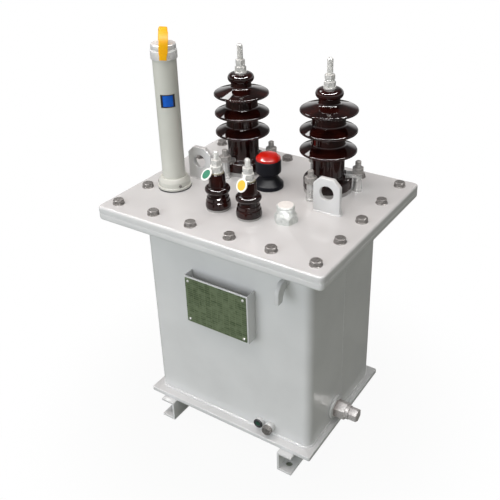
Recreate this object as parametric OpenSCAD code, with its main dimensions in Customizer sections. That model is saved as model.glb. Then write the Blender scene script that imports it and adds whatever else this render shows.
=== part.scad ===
// Small oil-immersed transformer: sheet steel tank on two channel feet, with a bolted cover.
// Millimetres, +Z up, ground at Z = 0. The front wall faces -Y and the drain wall faces +X.

/* [Tank] */
// Outside width of the tank
tank_w = 322; // [280:1:420]
// Outside depth of the tank
tank_d = 232; // [200:1:320]
// Height of the tank wall between base plate and flange
tank_h = 370; // [320:1:480]
// Thickness of the tank wall
wall_t = 4; // [3:0.5:8]
// Outside bend radius of the tank corners
tank_bend_r = 14; // [10:1:30]

/* [Base] */
// Thickness of the base plate
base_t = 8; // [5:0.5:14]
// Base plate standing out beyond the side walls
base_lip_x = 10; // [6:1:24]
// Base plate standing out beyond the front and rear walls
base_lip_y = 17; // [8:1:30]
// Corner radius of the base plate
base_corner_r = 3; // [1:0.5:8]

/* [Feet] */
// Height of the foot channels
foot_h = 40; // [32:1:60]
// Flange width of the foot channels
foot_w = 28; // [24:1:45]
// Thickness of web and flanges of the foot channels
foot_t = 4; // [3:0.5:6]
// Flange tips set in from the edge of the base plate
foot_inset = 30; // [10:1:50]
// Channels standing out beyond the base plate at each end
foot_overrun = 10; // [4:1:20]
// Diameter of the anchor bolt holes
anchor_d = 12; // [9:0.5:16]
// Anchor hole centres from the channel ends
anchor_end = 19; // [12:1:40]

/* [Flange and cover] */
// Flange and cover standing out beyond the side walls
rim_x = 49; // [42:1:70]
// Flange and cover standing out beyond the front and rear walls
rim_y = 56; // [46:1:80]
// Thickness of the tank flange
flange_t = 11; // [8:0.5:16]
// Thickness of the cover gasket
gasket_t = 3; // [2:0.5:6]
// Gasket edge set back from the edge of the flange
gasket_inset = 0.5; // [0.5:0.5:4]
// Gasket width inside the bolt line
gasket_inner = 16; // [10:1:18]
// Thickness of the cover plate
cover_t = 10; // [6:0.5:16]
// Corner radius of flange and cover
cover_corner_r = 8; // [3:1:14]
// Bevel along the outer edges of flange and cover
cover_bevel = 3; // [0.5:0.5:4]
// Cover bolt line from the side edges
bolt_edge_x = 25; // [18:1:27]
// Cover bolt line from the front and rear edges
bolt_edge_y = 26; // [18:1:29]
// Bolts along the front edge, corners counted
bolts_x = 6; // [3:1:8]
// Bolts along the side edge, corners counted
bolts_y = 5; // [3:1:7]
// Diameter of the cover bolt holes
bolt_hole_d = 13; // [10:0.5:14]

/* [Lifting] */
// Width of a cover lug
lug_w = 48; // [40:1:60]
// Height of a cover lug
lug_h = 60; // [54:1:80]
// Thickness of a cover lug
lug_t = 8; // [6:0.5:14]
// Chamfer of the upper corners of a lug
lug_chamfer = 12; // [6:1:18]
// Diameter of the lug eye
lug_eye_d = 24; // [16:1:28]
// Height of the lug eye over the cover
lug_eye_z = 34; // [28:1:38]
// Lug centre line from the side edge of the cover
lug_edge = 86; // [75:1:95]
// Thickness of a rope hook on the tank wall
hook_t = 8; // [6:0.5:12]
// Reach of a rope hook out of the wall
hook_reach = 28; // [24:1:34]
// Height of a rope hook from its tip to its top
hook_h = 35; // [32:1:44]
// Outer bend radius of a rope hook
hook_bend_r = 18; // [14:1:20]
// Part of the hook height that is welded to the wall
hook_weld_h = 10; // [8:1:14]
// Width of the hook tip
hook_tip_w = 12; // [9:1:14]
// Width of the hook at its throat
hook_throat_w = 17; // [15:1:19]
// Height of the throat over the tip
hook_throat_z = 14; // [11:1:16]
// Top of a rope hook below the flange
hook_drop = 37; // [20:1:60]
// Rope hook centre line from the side wall
hook_edge = 44; // [30:1:70]

/* [High-voltage bushings] */
// Distance between the two bushings
hv_pitch = 170; // [156:1:190]
// Bushing centre line from the rear edge of the cover
hv_rear = 98; // [92:1:112]
// Thickness of the gasket under a bushing
hv_gasket_t = 7; // [3:0.5:9]
// Radius of the bushing shoulder
hv_shoulder_r = 41; // [36:1:46]
// Height of the bushing shoulder
hv_shoulder_h = 18; // [15:1:30]
// Round of the shoulder's upper edge
hv_shoulder_round = 4; // [2:0.5:6]
// Radius of the trunk
hv_trunk_r = 27.5; // [25:0.5:30]
// Radius of the sheds
hv_shed_r = 47.5; // [40:0.5:56]
// Number of sheds
hv_sheds = 3; // [2:1:4]
// Height of the lowest shed's rim over the shoulder's foot
hv_first_shed = 65; // [60:1:80]
// Distance between sheds
hv_shed_pitch = 34.5; // [32:0.5:40]
// Fall of a shed from trunk to rim
hv_shed_fall = 10.5; // [7:0.5:14]
// Radius of a shed's rounded rim
hv_rim_r = 2.5; // [2:0.25:3.5]
// Half thickness of a shed where its rim begins
hv_shed_lip = 2; // [1:0.25:2]
// Cove between the trunk and the top of a shed
hv_cove = 2; // [1:0.5:3]
// Radius of the neck over the top shed
hv_neck_r = 17.5; // [14:0.5:20]
// Outer radius of the bulb at the top
hv_bulb_r = 22.6; // [21:0.2:25]
// Height of the bulb
hv_bulb_h = 16.5; // [12:0.5:20]
// Height of the neck between top shed and bulb
hv_neck_h = 19.5; // [16:0.5:26]
// Radius of the spigot in the cover
hv_spigot_r = 24; // [18:1:30]

/* [Bushing clamps] */
// Clamps round each high-voltage bushing
clamp_count = 3; // [2:1:4]
// Direction of the first clamp
clamp_first = 25; // [0:5:40]
// Radius of a clamp leg
clamp_leg_r = 7; // [5.8:0.1:7.4]
// Gap between clamp leg and shoulder
clamp_gap = 2; // [1.6:0.1:5]
// Radius of the foot of a clamp leg
clamp_foot_r = 8.2; // [7:0.1:8.4]
// Height of the foot of a clamp leg
clamp_foot_h = 4; // [2:0.5:6]
// Thickness of a clamp claw
claw_t = 7; // [5:0.5:10]
// Gap between the nose of a claw and the trunk
claw_nose_gap = 3; // [1.5:0.5:6]
// Diameter of the stud hole in a clamp
clamp_hole_d = 8.6; // [6:0.2:9]

/* [Low-voltage bushings] */
// Distance between the two low-voltage bushings
lv_pitch = 59.5; // [52:0.5:70]
// Low-voltage pair right of the cover's centre line
lv_x = -4.5; // [-12:0.5:6]
// Low-voltage centre line from the front edge of the cover
lv_front = 97.5; // [85:0.5:104]
// Thickness of the gasket under a low-voltage bushing
lv_gasket_t = 3.5; // [2:0.5:6]
// Radius of the foot
lv_foot_r = 20.6; // [19:0.1:24]
// Height of the straight edge of the foot
lv_foot_h = 5; // [2.5:0.5:8]
// Bevel at the lower edge of the foot
lv_foot_bevel = 1; // [0.5:0.25:2]
// Radius at the top of the bell, under the collar
lv_bell_r = 16.2; // [13.5:0.1:18]
// Height of foot and bell together
lv_bell_h = 24.5; // [22:0.5:30]
// Radius of the collar
lv_collar_r = 20.6; // [19:0.1:23]
// Height of the collar
lv_collar_h = 12; // [9:0.5:15]
// Radius of the cap at its foot
lv_cap_r = 14; // [13:0.25:15.5]
// Height of the cap
lv_cap_h = 22.5; // [16:0.5:27]
// Porcelain of the cap's top beyond the terminal washer
lv_cap_lip = 2.4; // [1:0.2:3]
// Radius of the spigot in the cover
lv_spigot_r = 12; // [9:0.5:15]

/* [Terminals] */
// Diameter of the high-voltage studs
hv_stud_d = 10; // [8:0.5:12]
// Diameter of the low-voltage studs
lv_stud_d = 8.5; // [7:0.5:12]
// Width across the flats of the lower nut
lower_nut_af = 17; // [15.5:0.5:18.5]
// Width across the flats of the upper nut
upper_nut_af = 15; // [14:0.5:16.5]
// Height of a terminal nut
nut_h = 8.5; // [6:0.5:10]
// Diameter of a terminal washer
washer_d = 20.5; // [20:0.5:22]
// Thickness of a terminal washer
washer_t = 3; // [1.5:0.25:4]
// High-voltage stud standing free above its nuts
hv_stud_free = 26; // [15:1:36]
// Low-voltage stud standing free above its nuts
lv_stud_free = 14; // [8:1:30]

/* [Relief valve] */
// Relief valve axis right of the cover's centre line
valve_x = -7; // [-20:1:10]
// Relief valve axis behind the cover's centre line
valve_y = 34; // [20:1:44]
// Radius of the valve foot
valve_foot_r = 25.5; // [22:0.5:30]
// Height of the valve foot
valve_foot_h = 9; // [6:0.5:12]
// Bevel at the upper edge of the foot
valve_foot_bevel = 2; // [1:0.5:4]
// Radius of the waist
valve_waist_r = 14; // [12.5:0.5:16]
// Height of the waist over the cover
valve_waist_z = 21; // [19:0.5:24]
// Radius of the head
valve_head_r = 21.8; // [20:0.2:26]
// Height of the lower edge of the head
valve_head_z = 28; // [26:0.5:32]
// Height of the top of the head
valve_head_top = 50; // [44:0.5:58]
// Radius of the domed cap
valve_cap_r = 21; // [17:0.1:21]
// Height of the domed cap
valve_cap_h = 11; // [8:0.5:17]

/* [Oil gauge] */
// Gauge axis from the left edge of the cover
gauge_left = 63; // [56:1:72]
// Gauge axis from the front edge of the cover
gauge_front = 125.5; // [110:0.5:140]
// Thickness of the gauge gasket
gauge_gasket_t = 2; // [1:0.5:4]
// Radius of the gauge collar
collar_r = 28.5; // [26:0.5:33]
// Height of the collar's lower ring
collar_ring_h = 4; // [3:0.5:6]
// Lower ring standing out from the collar's body
collar_step = 2; // [1:0.25:3]
// Height up to the collar's shoulder
collar_body_h = 12; // [9:0.5:14]
// Height of the whole collar
collar_h = 19; // [16:0.5:24]
// Outside radius of the gauge tube
tube_r = 19.3; // [17:0.1:21]
// Wall of the gauge tube
tube_t = 3; // [2:0.5:5]
// Length of the gauge tube
tube_h = 222; // [190:1:250]
// Radial clearance of the tube in its collar
tube_fit = 0.2; // [0.1:0.05:0.4]
// Direction that the window faces, from +X
window_angle = -49; // [-80:1:-20]
// Width of the window
window_w = 23; // [16:0.5:26]
// Height of the window
window_h = 22; // [16:0.5:30]
// Middle of the window over the gauge gasket
window_z = 156; // [120:1:180]
// Clearance round the window pane
window_fit = 0.3; // [0.2:0.05:0.5]
// Window pane set back from the face of the tube
window_sink = 0.6; // [0.3:0.1:1.2]
// Radius of the cap's ring
cap_ring_r = 21.3; // [20.5:0.1:23]
// Height of the gauge cap
cap_h = 24; // [20:0.5:28]
// Height of the cap's ring under the lid
cap_ring_h = 14; // [10:0.5:15]
// Ring standing out from the lid
cap_ring_edge = 1.2; // [0.6:0.1:1.5]
// Width of the strap over the cap
strap_w = 14.5; // [12:0.5:18]
// Width of the strap at its feet and on top
strap_end_w = 11.5; // [9:0.5:12]
// Height over which the strap changes its width
strap_taper = 6; // [4:0.5:9]
// Lean of the strap to the right, in degrees
strap_lean = 6; // [0:1:8]
// Thickness of the strap
strap_t = 3; // [2:0.25:4]
// Clearance of the strap round the cap's ring
strap_fit = 0.3; // [0.2:0.05:0.5]
// Foot of the strap above the foot of the cap
strap_foot = 2; // [0:0.5:5]

/* [Filler plug] */
// Filler plug axis right of the right low-voltage bushing
plug_dx = 57; // [50:0.5:66]
// Filler plug axis behind the low-voltage bushings
plug_dy = 17; // [5:1:25]
// Width across the flats of the plug's hexagon
plug_af = 33; // [28:0.5:38]
// Height of the hexagon
plug_hex_h = 15; // [8:0.5:18]
// Radius of the barrel
plug_barrel_r = 14.2; // [12.5:0.1:16]
// Height of the whole plug
plug_h = 28; // [22:0.5:36]
// Bevel at the top of the plug
plug_bevel = 2; // [1:0.25:3]
// Radius of the filler hole in the cover
plug_hole_r = 11; // [8:0.5:12]

/* [Wall fittings] */
// Width of the nameplate bracket
plate_w = 126; // [100:1:150]
// Height of the nameplate bracket
plate_h = 92; // [70:1:110]
// Depth of the nameplate bracket out of the wall
plate_depth = 22; // [12:1:34]
// Middle of the nameplate bracket right of the wall's centre line
plate_x = -3; // [-20:1:20]
// Sheet thickness of the nameplate bracket
plate_t = 2; // [1.5:0.25:3]
// Lower edge of the bracket over the base plate
plate_z = 197; // [150:1:220]
// Height of the earth bosses over the base plate
earth_z = 16; // [13:0.5:40]
// Radius of the earth bosses
earth_r = 9.5; // [8:0.5:11]
// Length of the left earth boss
earth_left_l = 6; // [4:0.5:12]
// Length of the right earth boss
earth_right_l = 9; // [6:0.5:16]
// Left earth boss right of the wall's centre line
earth_x = 63; // [40:1:80]
// Distance between the earth bosses
earth_pitch = 21.5; // [20:0.5:40]
// Radius of the rubber cap on the left earth boss
earth_cap_r = 8.8; // [7:0.1:9.5]
// Thickness of the rubber cap
earth_cap_t = 3; // [2:0.5:5]
// Drain axis over the base plate
drain_z = 25; // [24:0.5:60]
// Drain axis in front of the wall's centre line
drain_y = -25; // [-60:1:20]
// Radius of the drain pad on the wall
drain_pad_r = 22; // [20:0.5:23.5]
// Thickness of the drain pad
drain_pad_t = 5; // [3:0.5:8]
// Width across the flats of the drain body
drain_body_af = 28; // [26:0.5:30]
// Length of the hexagon of the drain body
drain_hex_l = 20; // [14:0.5:24]
// Radius of the round neck behind the drain cap
drain_neck_r = 12.5; // [11.5:0.25:13]
// Length of the whole drain body
drain_body_l = 26; // [25:0.5:30]
// Width across the flats of the drain cap
drain_cap_af = 21; // [18:0.5:22]
// Length of the drain cap
drain_cap_l = 15.5; // [10:0.5:22]

/* [Hidden] */
$fn = 72;

cover_w = tank_w + 2 * rim_x;
cover_d = tank_d + 2 * rim_y;
base_w = tank_w + 2 * base_lip_x;
base_d = tank_d + 2 * base_lip_y;
foot_len = base_d + 2 * foot_overrun;
foot_tip_x = base_w / 2 - foot_inset;
anchor_x = foot_tip_x - foot_w / 2;
anchor_y = foot_len / 2 - anchor_end;

base_top = foot_h + base_t;
flange_z = base_top + tank_h;
gasket_z = flange_z + flange_t;
cover_z = gasket_z + gasket_t;
cover_top = cover_z + cover_t;

bolt_line_x = cover_w / 2 - bolt_edge_x;
bolt_line_y = cover_d / 2 - bolt_edge_y;
bolt_step_x = 2 * bolt_line_x / (bolts_x - 1);
bolt_step_y = 2 * bolt_line_y / (bolts_y - 1);

lug_x = cover_w / 2 - lug_edge;
hook_x = tank_w / 2 - hook_edge;
hook_top = flange_z - hook_drop;

hv_y = cover_d / 2 - hv_rear;
hv_top_shed = hv_first_shed + (hv_sheds - 1) * hv_shed_pitch;
hv_bulb_z = hv_top_shed + hv_neck_h;
hv_top = hv_bulb_z + hv_bulb_h;
clamp_r = hv_shoulder_r + clamp_gap + clamp_leg_r;
clamp_h = hv_gasket_t + hv_shoulder_h;

lv_y = lv_front - cover_d / 2;
lv_collar_z = lv_bell_h + lv_collar_h / 2;
lv_collar_top = lv_bell_h + lv_collar_h;
lv_top = lv_collar_top + lv_cap_h;
port_fit = 1;
lv_cap_top_r = washer_d / 2 + lv_cap_lip;
nut_stack_h = 2 * (washer_t + nut_h);

gauge_x = gauge_left - cover_w / 2;
gauge_y = gauge_front - cover_d / 2;
gauge_port_r = tube_r - tube_t - port_fit;
cap_z = gauge_gasket_t + tube_h;
cap_r = cap_ring_r - cap_ring_edge;
strap_inner = cap_ring_r + strap_fit;
strap_outer = strap_inner + strap_t;
strap_leg_h = cap_h - strap_foot;
strap_top = strap_leg_h + strap_outer;
plug_x = lv_x + lv_pitch / 2 + plug_dx;
plug_y = lv_y + plug_dy;

through = 1;

paint = "gainsboro";
porcelain = "#3a1c18";
zinc = "silver";
rubber = "#2a2a2a";
grey_rubber = "darkgray";

// Rectangle with round corners, centred on the origin
module rounded_rect(w, d, r) {
    square([w - 2 * r, d], center = true);
    square([w, d - 2 * r], center = true);
    for (sx = [-1, 1])
        for (sy = [-1, 1])
            translate([sx * (w / 2 - r), sy * (d / 2 - r)])
                circle(r);
}

// Long prism that takes a 45 degree bevel off one edge along X
module bevel_cutter(length, size) {
    rotate([45, 0, 0])
        cube([length, size * sqrt(2), size * sqrt(2)], center = true);
}

// Plate in the outline of the cover, its edge bevelled at the given height
module rim_plate(t, bevel_z) {
    difference() {
        linear_extrude(t)
            rounded_rect(cover_w, cover_d, cover_corner_r);
        for (side = [-1, 1]) {
            translate([0, side * cover_d / 2, bevel_z])
                bevel_cutter(cover_w + 2 * through, cover_bevel);
            translate([side * cover_w / 2, 0, bevel_z])
                rotate([0, 0, 90])
                    bevel_cutter(cover_d + 2 * through, cover_bevel);
        }
    }
}

// Puts its child at every cover bolt
module at_cover_bolts() {
    for (i = [0 : bolts_x - 1])
        for (side = [-1, 1])
            translate([i * bolt_step_x - bolt_line_x, side * bolt_line_y])
                children();
    for (j = [1 : bolts_y - 2])
        for (side = [-1, 1])
            translate([side * bolt_line_x, j * bolt_step_y - bolt_line_y])
                children();
}

// Cover bolt holes through a plate of thickness t
module bolt_holes(t) {
    at_cover_bolts()
        translate([0, 0, -through])
            cylinder(d = bolt_hole_d, h = t + 2 * through);
}

// Inside outline of the tank, grown by the given margin
module tank_bore(margin) {
    rounded_rect(tank_w - 2 * wall_t + 2 * margin, tank_d - 2 * wall_t + 2 * margin,
        tank_bend_r - wall_t + margin);
}

// Channel foot, web inboard, on the left or right side
module foot(side) {
    color(paint)
        difference() {
            translate([side * foot_tip_x, foot_len / 2, 0])
                mirror([side > 0 ? 1 : 0, 0, 0])
                    rotate([90, 0, 0])
                        linear_extrude(foot_len)
                            difference() {
                                square([foot_w, foot_h]);
                                translate([-through, foot_t])
                                    square([foot_w - foot_t + through, foot_h - 2 * foot_t]);
                            }
            for (end = [-1, 1])
                translate([side * anchor_x, end * anchor_y, -through])
                    cylinder(d = anchor_d, h = foot_t + 2 * through);
        }
}

module foot_left() { foot(-1); }
module foot_right() { foot(1); }

module base_plate() {
    color(paint)
        translate([0, 0, foot_h])
            linear_extrude(base_t)
                rounded_rect(base_w, base_d, base_corner_r);
}

module tank_wall() {
    color(paint)
        translate([0, 0, base_top])
            linear_extrude(tank_h)
                difference() {
                    rounded_rect(tank_w, tank_d, tank_bend_r);
                    tank_bore(0);
                }
}

module tank_flange() {
    color(paint)
        translate([0, 0, flange_z])
            difference() {
                rim_plate(flange_t, 0);
                translate([0, 0, -through])
                    linear_extrude(flange_t + 2 * through)
                        tank_bore(0);
                bolt_holes(flange_t);
            }
}

module cover_gasket() {
    color(rubber)
        translate([0, 0, gasket_z])
            difference() {
                linear_extrude(gasket_t)
                    difference() {
                        rounded_rect(cover_w - 2 * gasket_inset, cover_d - 2 * gasket_inset,
                            cover_corner_r);
                        square([2 * (bolt_line_x - gasket_inner), 2 * (bolt_line_y - gasket_inner)],
                            center = true);
                    }
                bolt_holes(gasket_t);
            }
}

// Holes in the cover under bushings, gauge, relief valve and filler plug
module cover_ports() {
    for (side = [-1, 1]) {
        translate([side * hv_pitch / 2, hv_y])
            circle(hv_spigot_r + port_fit);
        translate([lv_x + side * lv_pitch / 2, lv_y])
            circle(lv_spigot_r + port_fit);
    }
    translate([gauge_x, gauge_y])
        circle(gauge_port_r);
    translate([valve_x, valve_y])
        circle(valve_waist_r - port_fit);
    translate([plug_x, plug_y])
        circle(plug_hole_r);
}

module cover() {
    color(paint)
        translate([0, 0, cover_z])
            difference() {
                rim_plate(cover_t, cover_t);
                bolt_holes(cover_t);
                translate([0, 0, -through])
                    linear_extrude(cover_t + 2 * through)
                        cover_ports();
            }
}

// Cover lug, a plate across the width with cut corners and an eye
module lifting_lug(side) {
    flat = lug_w / 2 - lug_chamfer;
    color(paint)
        translate([side * lug_x, lug_t / 2, cover_top])
            rotate([90, 0, 0])
                difference() {
                    linear_extrude(lug_t)
                        polygon([[-lug_w / 2, 0], [lug_w / 2, 0],
                            [lug_w / 2, lug_h - lug_chamfer], [flat, lug_h],
                            [-flat, lug_h], [-lug_w / 2, lug_h - lug_chamfer]]);
                    translate([0, lug_eye_z, -through])
                        cylinder(d = lug_eye_d, h = lug_t + 2 * through);
                }
}

module lifting_lug_left() { lifting_lug(-1); }
module lifting_lug_right() { lifting_lug(1); }

// Side view of a rope hook: X out of the wall, Y up, the tip hanging at Y = 0
module hook_outline() {
    back_z = hook_h - hook_weld_h;
    difference() {
        union() {
            square([hook_reach - hook_bend_r, hook_h]);
            square([hook_reach, hook_h - hook_bend_r]);
            translate([hook_reach - hook_bend_r, hook_h - hook_bend_r])
                intersection() {
                    circle(hook_bend_r);
                    square(hook_bend_r);
                }
        }
        polygon([[-through, -through], [hook_reach - hook_tip_w, -through], [hook_reach - hook_tip_w, 0],
            [hook_reach - hook_throat_w, hook_throat_z], [0, back_z], [-through, back_z]]);
    }
}

module rope_hook_front() {
    color(paint)
        translate([hook_x - hook_t / 2, -tank_d / 2, hook_top - hook_h])
            rotate([0, 0, -90])
                rotate([90, 0, 0])
                    mirror([0, 0, 1])
                        linear_extrude(hook_t)
                            hook_outline();
}

module rope_hook_rear() {
    rotate([0, 0, 180])
        rope_hook_front();
}

// Puts its child on the cover at the left or right high-voltage bushing
module at_hv(side) {
    translate([side * hv_pitch / 2, hv_y, cover_top])
        children();
}

// Puts its child on the cover at the left or right low-voltage bushing
module at_lv(side) {
    translate([lv_x + side * lv_pitch / 2, lv_y, cover_top])
        children();
}

// Flat ring gasket with a hole for the spigot
module ring_gasket(outer_r, inner_r, t) {
    linear_extrude(t)
        difference() {
            circle(outer_r);
            circle(inner_r);
        }
}

module hv_gasket(side) {
    color(grey_rubber)
        at_hv(side)
            ring_gasket(hv_shoulder_r - port_fit, hv_spigot_r + port_fit, hv_gasket_t);
}

module hv_gasket_left() { hv_gasket(-1); }
module hv_gasket_right() { hv_gasket(1); }

// Half section of one shed: a falling cone with a rounded rim, rim centre at Y = 0
module shed_section(core_r) {
    rim_mid = hv_shed_r - hv_rim_r;
    slope = (hv_shed_fall - hv_shed_lip) / (rim_mid - core_r);
    translate([rim_mid, 0])
        circle(hv_rim_r);
    polygon([[core_r - 2 * through, hv_shed_fall + hv_cove], [core_r, hv_shed_fall + hv_cove],
        [core_r + hv_cove, hv_shed_fall - slope * hv_cove], [rim_mid, hv_shed_lip],
        [rim_mid, -hv_shed_lip], [core_r, 0], [core_r - 2 * through, 0]]);
}

// Half section of a high-voltage bushing, shoulder foot at Y = 0
module hv_section() {
    spigot_l = cover_t + hv_gasket_t;
    round_r = hv_shoulder_round;
    translate([0, -spigot_l])
        square([hv_spigot_r, spigot_l + through]);
    square([hv_shoulder_r, hv_shoulder_h - round_r]);
    square([hv_shoulder_r - round_r, hv_shoulder_h]);
    translate([hv_shoulder_r - round_r, hv_shoulder_h - round_r])
        circle(round_r);
    square([hv_trunk_r, hv_top_shed + through]);
    square([hv_neck_r, hv_bulb_z + hv_bulb_h / 2]);
    translate([0, hv_bulb_z])
        square([hv_bulb_r - hv_bulb_h / 2, hv_bulb_h]);
    translate([hv_bulb_r - hv_bulb_h / 2, hv_bulb_z + hv_bulb_h / 2])
        circle(d = hv_bulb_h);
}

module hv_bushing(side) {
    color(porcelain)
        at_hv(side)
            translate([0, 0, hv_gasket_t]) {
                rotate_extrude()
                    hv_section();
                for (i = [0 : hv_sheds - 1])
                    translate([0, 0, hv_first_shed + i * hv_shed_pitch])
                        rotate_extrude()
                            shed_section(i == hv_sheds - 1 ? hv_neck_r : hv_trunk_r);
            }
}

module hv_bushing_left() { hv_bushing(-1); }
module hv_bushing_right() { hv_bushing(1); }

// Hexagon prism by its width across the flats
module hexagon(af, h) {
    cylinder(d = af / cos(30), h = h, $fn = 6);
}

// Stud with two washers and two nuts, standing on Z = 0
module terminal_stack(stud_d, free) {
    cylinder(d = stud_d, h = nut_stack_h + free);
    cylinder(d = washer_d, h = washer_t);
    translate([0, 0, washer_t])
        hexagon(lower_nut_af, nut_h);
    translate([0, 0, washer_t + nut_h])
        cylinder(d = upper_nut_af, h = washer_t);
    translate([0, 0, 2 * washer_t + nut_h])
        hexagon(upper_nut_af, nut_h);
}

module hv_terminal(side) {
    color(zinc)
        at_hv(side)
            translate([0, 0, hv_gasket_t + hv_top])
                terminal_stack(hv_stud_d, hv_stud_free);
}

module hv_terminal_left() { hv_terminal(-1); }
module hv_terminal_right() { hv_terminal(1); }

// Clamp with a round leg on the cover and a claw that lies on the bushing's shoulder
module clamp() {
    difference() {
        union() {
            cylinder(r = clamp_leg_r, h = clamp_h + claw_t);
            cylinder(r = clamp_foot_r, h = clamp_foot_h);
            translate([-clamp_r, -clamp_leg_r, clamp_h])
                cube([clamp_r, 2 * clamp_leg_r, claw_t]);
        }
        translate([0, 0, -through])
            cylinder(d = clamp_hole_d, h = clamp_h + claw_t + 2 * through);
        translate([-clamp_r, 0, clamp_h - through])
            cylinder(r = hv_trunk_r + claw_nose_gap, h = claw_t + 2 * through);
    }
}

module hv_clamps(side) {
    color(zinc)
        at_hv(side)
            for (k = [0 : clamp_count - 1])
                rotate([0, 0, clamp_first + k * 360 / clamp_count])
                    translate([clamp_r, 0, 0])
                        clamp();
}

module hv_clamps_left() { hv_clamps(-1); }
module hv_clamps_right() { hv_clamps(1); }

module lv_gasket(side) {
    color(grey_rubber)
        at_lv(side)
            ring_gasket(lv_foot_r - port_fit, lv_spigot_r + port_fit, lv_gasket_t);
}

module lv_gasket_left() { lv_gasket(-1); }
module lv_gasket_right() { lv_gasket(1); }

// Half section of a low-voltage bushing, foot at Y = 0
module lv_section() {
    spigot_l = cover_t + lv_gasket_t;
    translate([0, -spigot_l])
        square([lv_spigot_r, spigot_l + through]);
    polygon([[0, 0], [lv_foot_r - lv_foot_bevel, 0], [lv_foot_r, lv_foot_bevel], [lv_foot_r, lv_foot_h],
        [lv_bell_r, lv_bell_h], [lv_bell_r, lv_collar_z], [0, lv_collar_z]]);
    translate([0, lv_bell_h])
        square([lv_collar_r - lv_collar_h / 2, lv_collar_h]);
    translate([lv_collar_r - lv_collar_h / 2, lv_collar_z])
        circle(d = lv_collar_h);
    polygon([[0, lv_collar_z], [lv_cap_r, lv_collar_z], [lv_cap_r, lv_collar_top],
        [lv_cap_top_r, lv_top], [0, lv_top]]);
}

module lv_bushing(side) {
    color(porcelain)
        at_lv(side)
            translate([0, 0, lv_gasket_t])
                rotate_extrude()
                    lv_section();
}

module lv_bushing_left() { lv_bushing(-1); }
module lv_bushing_right() { lv_bushing(1); }

module lv_terminal(side) {
    color(zinc)
        at_lv(side)
            translate([0, 0, lv_gasket_t + lv_top])
                terminal_stack(lv_stud_d, lv_stud_free);
}

module lv_terminal_left() { lv_terminal(-1); }
module lv_terminal_right() { lv_terminal(1); }

module relief_valve_body() {
    color(rubber)
        translate([valve_x, valve_y, cover_top])
            rotate_extrude()
                polygon([[0, 0], [valve_foot_r, 0], [valve_foot_r, valve_foot_h - valve_foot_bevel],
                    [valve_foot_r - valve_foot_bevel, valve_foot_h], [valve_waist_r, valve_waist_z],
                    [valve_head_r, valve_head_z], [valve_head_r, valve_head_top], [0, valve_head_top]]);
}

module relief_valve_cap() {
    dome_r = (valve_cap_r * valve_cap_r + valve_cap_h * valve_cap_h) / (2 * valve_cap_h);
    color("red")
        translate([valve_x, valve_y, cover_top + valve_head_top])
            rotate_extrude()
                intersection() {
                    translate([0, valve_cap_h - dome_r])
                        circle(dome_r);
                    square([valve_cap_r, valve_cap_h]);
                }
}

// Puts its child on the cover at the oil gauge
module at_gauge(z) {
    translate([gauge_x, gauge_y, cover_top + z])
        children();
}

module gauge_gasket() {
    color(rubber)
        at_gauge(0)
            ring_gasket(collar_r, gauge_port_r, gauge_gasket_t);
}

module gauge_collar() {
    bore_r = tube_r + tube_fit;
    body_r = collar_r - collar_step;
    color(paint)
        at_gauge(gauge_gasket_t)
            rotate_extrude()
                polygon([[bore_r, 0], [collar_r, 0], [collar_r, collar_ring_h], [body_r, collar_ring_h],
                    [body_r, collar_body_h], [bore_r + tube_t, collar_h], [bore_r, collar_h]]);
}

// Block that the window opening takes out of the tube
module window_block(w, h) {
    translate([0, 0, window_z])
        rotate([0, 0, window_angle])
            translate([0, -w / 2, -h / 2])
                cube([tube_r + through, w, h]);
}

module gauge_tube() {
    color(paint)
        at_gauge(gauge_gasket_t)
            difference() {
                linear_extrude(tube_h)
                    difference() {
                        circle(tube_r);
                        circle(tube_r - tube_t);
                    }
                window_block(window_w, window_h);
            }
}

module gauge_window() {
    color("royalblue")
        at_gauge(gauge_gasket_t)
            intersection() {
                linear_extrude(tube_h)
                    difference() {
                        circle(tube_r - window_sink);
                        circle(tube_r - tube_t);
                    }
                window_block(window_w - 2 * window_fit, window_h - 2 * window_fit);
            }
}

// Cap with a wide lower ring, a groove and a lid
module gauge_cap() {
    edge = cap_ring_edge;
    groove_r = cap_r - edge;
    lid_z = cap_ring_h + edge;
    color(zinc)
        at_gauge(cap_z)
            rotate_extrude()
                polygon([[0, 0], [cap_r, 0], [cap_ring_r, edge], [cap_ring_r, cap_ring_h - edge],
                    [groove_r, cap_ring_h], [groove_r, lid_z], [cap_r, lid_z + edge],
                    [cap_r, cap_h - 2 * edge], [cap_r - 2 * edge, cap_h], [0, cap_h]]);
}

// Side view of the strap: two legs with an arch between them
module strap_arch() {
    difference() {
        union() {
            translate([-strap_outer, 0])
                square([2 * strap_outer, strap_leg_h]);
            translate([0, strap_leg_h])
                circle(strap_outer);
        }
        translate([-strap_inner, -strap_outer])
            square([2 * strap_inner, strap_leg_h + strap_outer]);
        translate([0, strap_leg_h])
            circle(strap_inner);
    }
}

// Front view of the strap: wide in the middle, narrower at its feet and on top
module strap_front() {
    polygon([[-strap_end_w / 2, 0], [strap_end_w / 2, 0], [strap_end_w / 2, strap_taper],
        [strap_w / 2, 2 * strap_taper], [strap_w / 2, strap_top - strap_taper],
        [strap_end_w / 2, strap_top], [-strap_end_w / 2, strap_top],
        [-strap_w / 2, strap_top - strap_taper], [-strap_w / 2, 2 * strap_taper],
        [-strap_end_w / 2, strap_taper]]);
}

// Strap that stands on both sides of the cap's ring, arches over the cap and leans a little
module gauge_strap() {
    color("gold")
        at_gauge(cap_z + strap_foot)
            rotate([0, 0, window_angle])
                translate([0, 0, strap_leg_h])
                    rotate([-strap_lean, 0, 0])
                        translate([0, 0, -strap_leg_h])
                            intersection() {
                                rotate([90, 0, 0])
                                    linear_extrude(strap_w, center = true)
                                        strap_arch();
                                rotate([90, 0, 90])
                                    linear_extrude(2 * strap_outer + through, center = true)
                                        strap_front();
                            }
}

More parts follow.
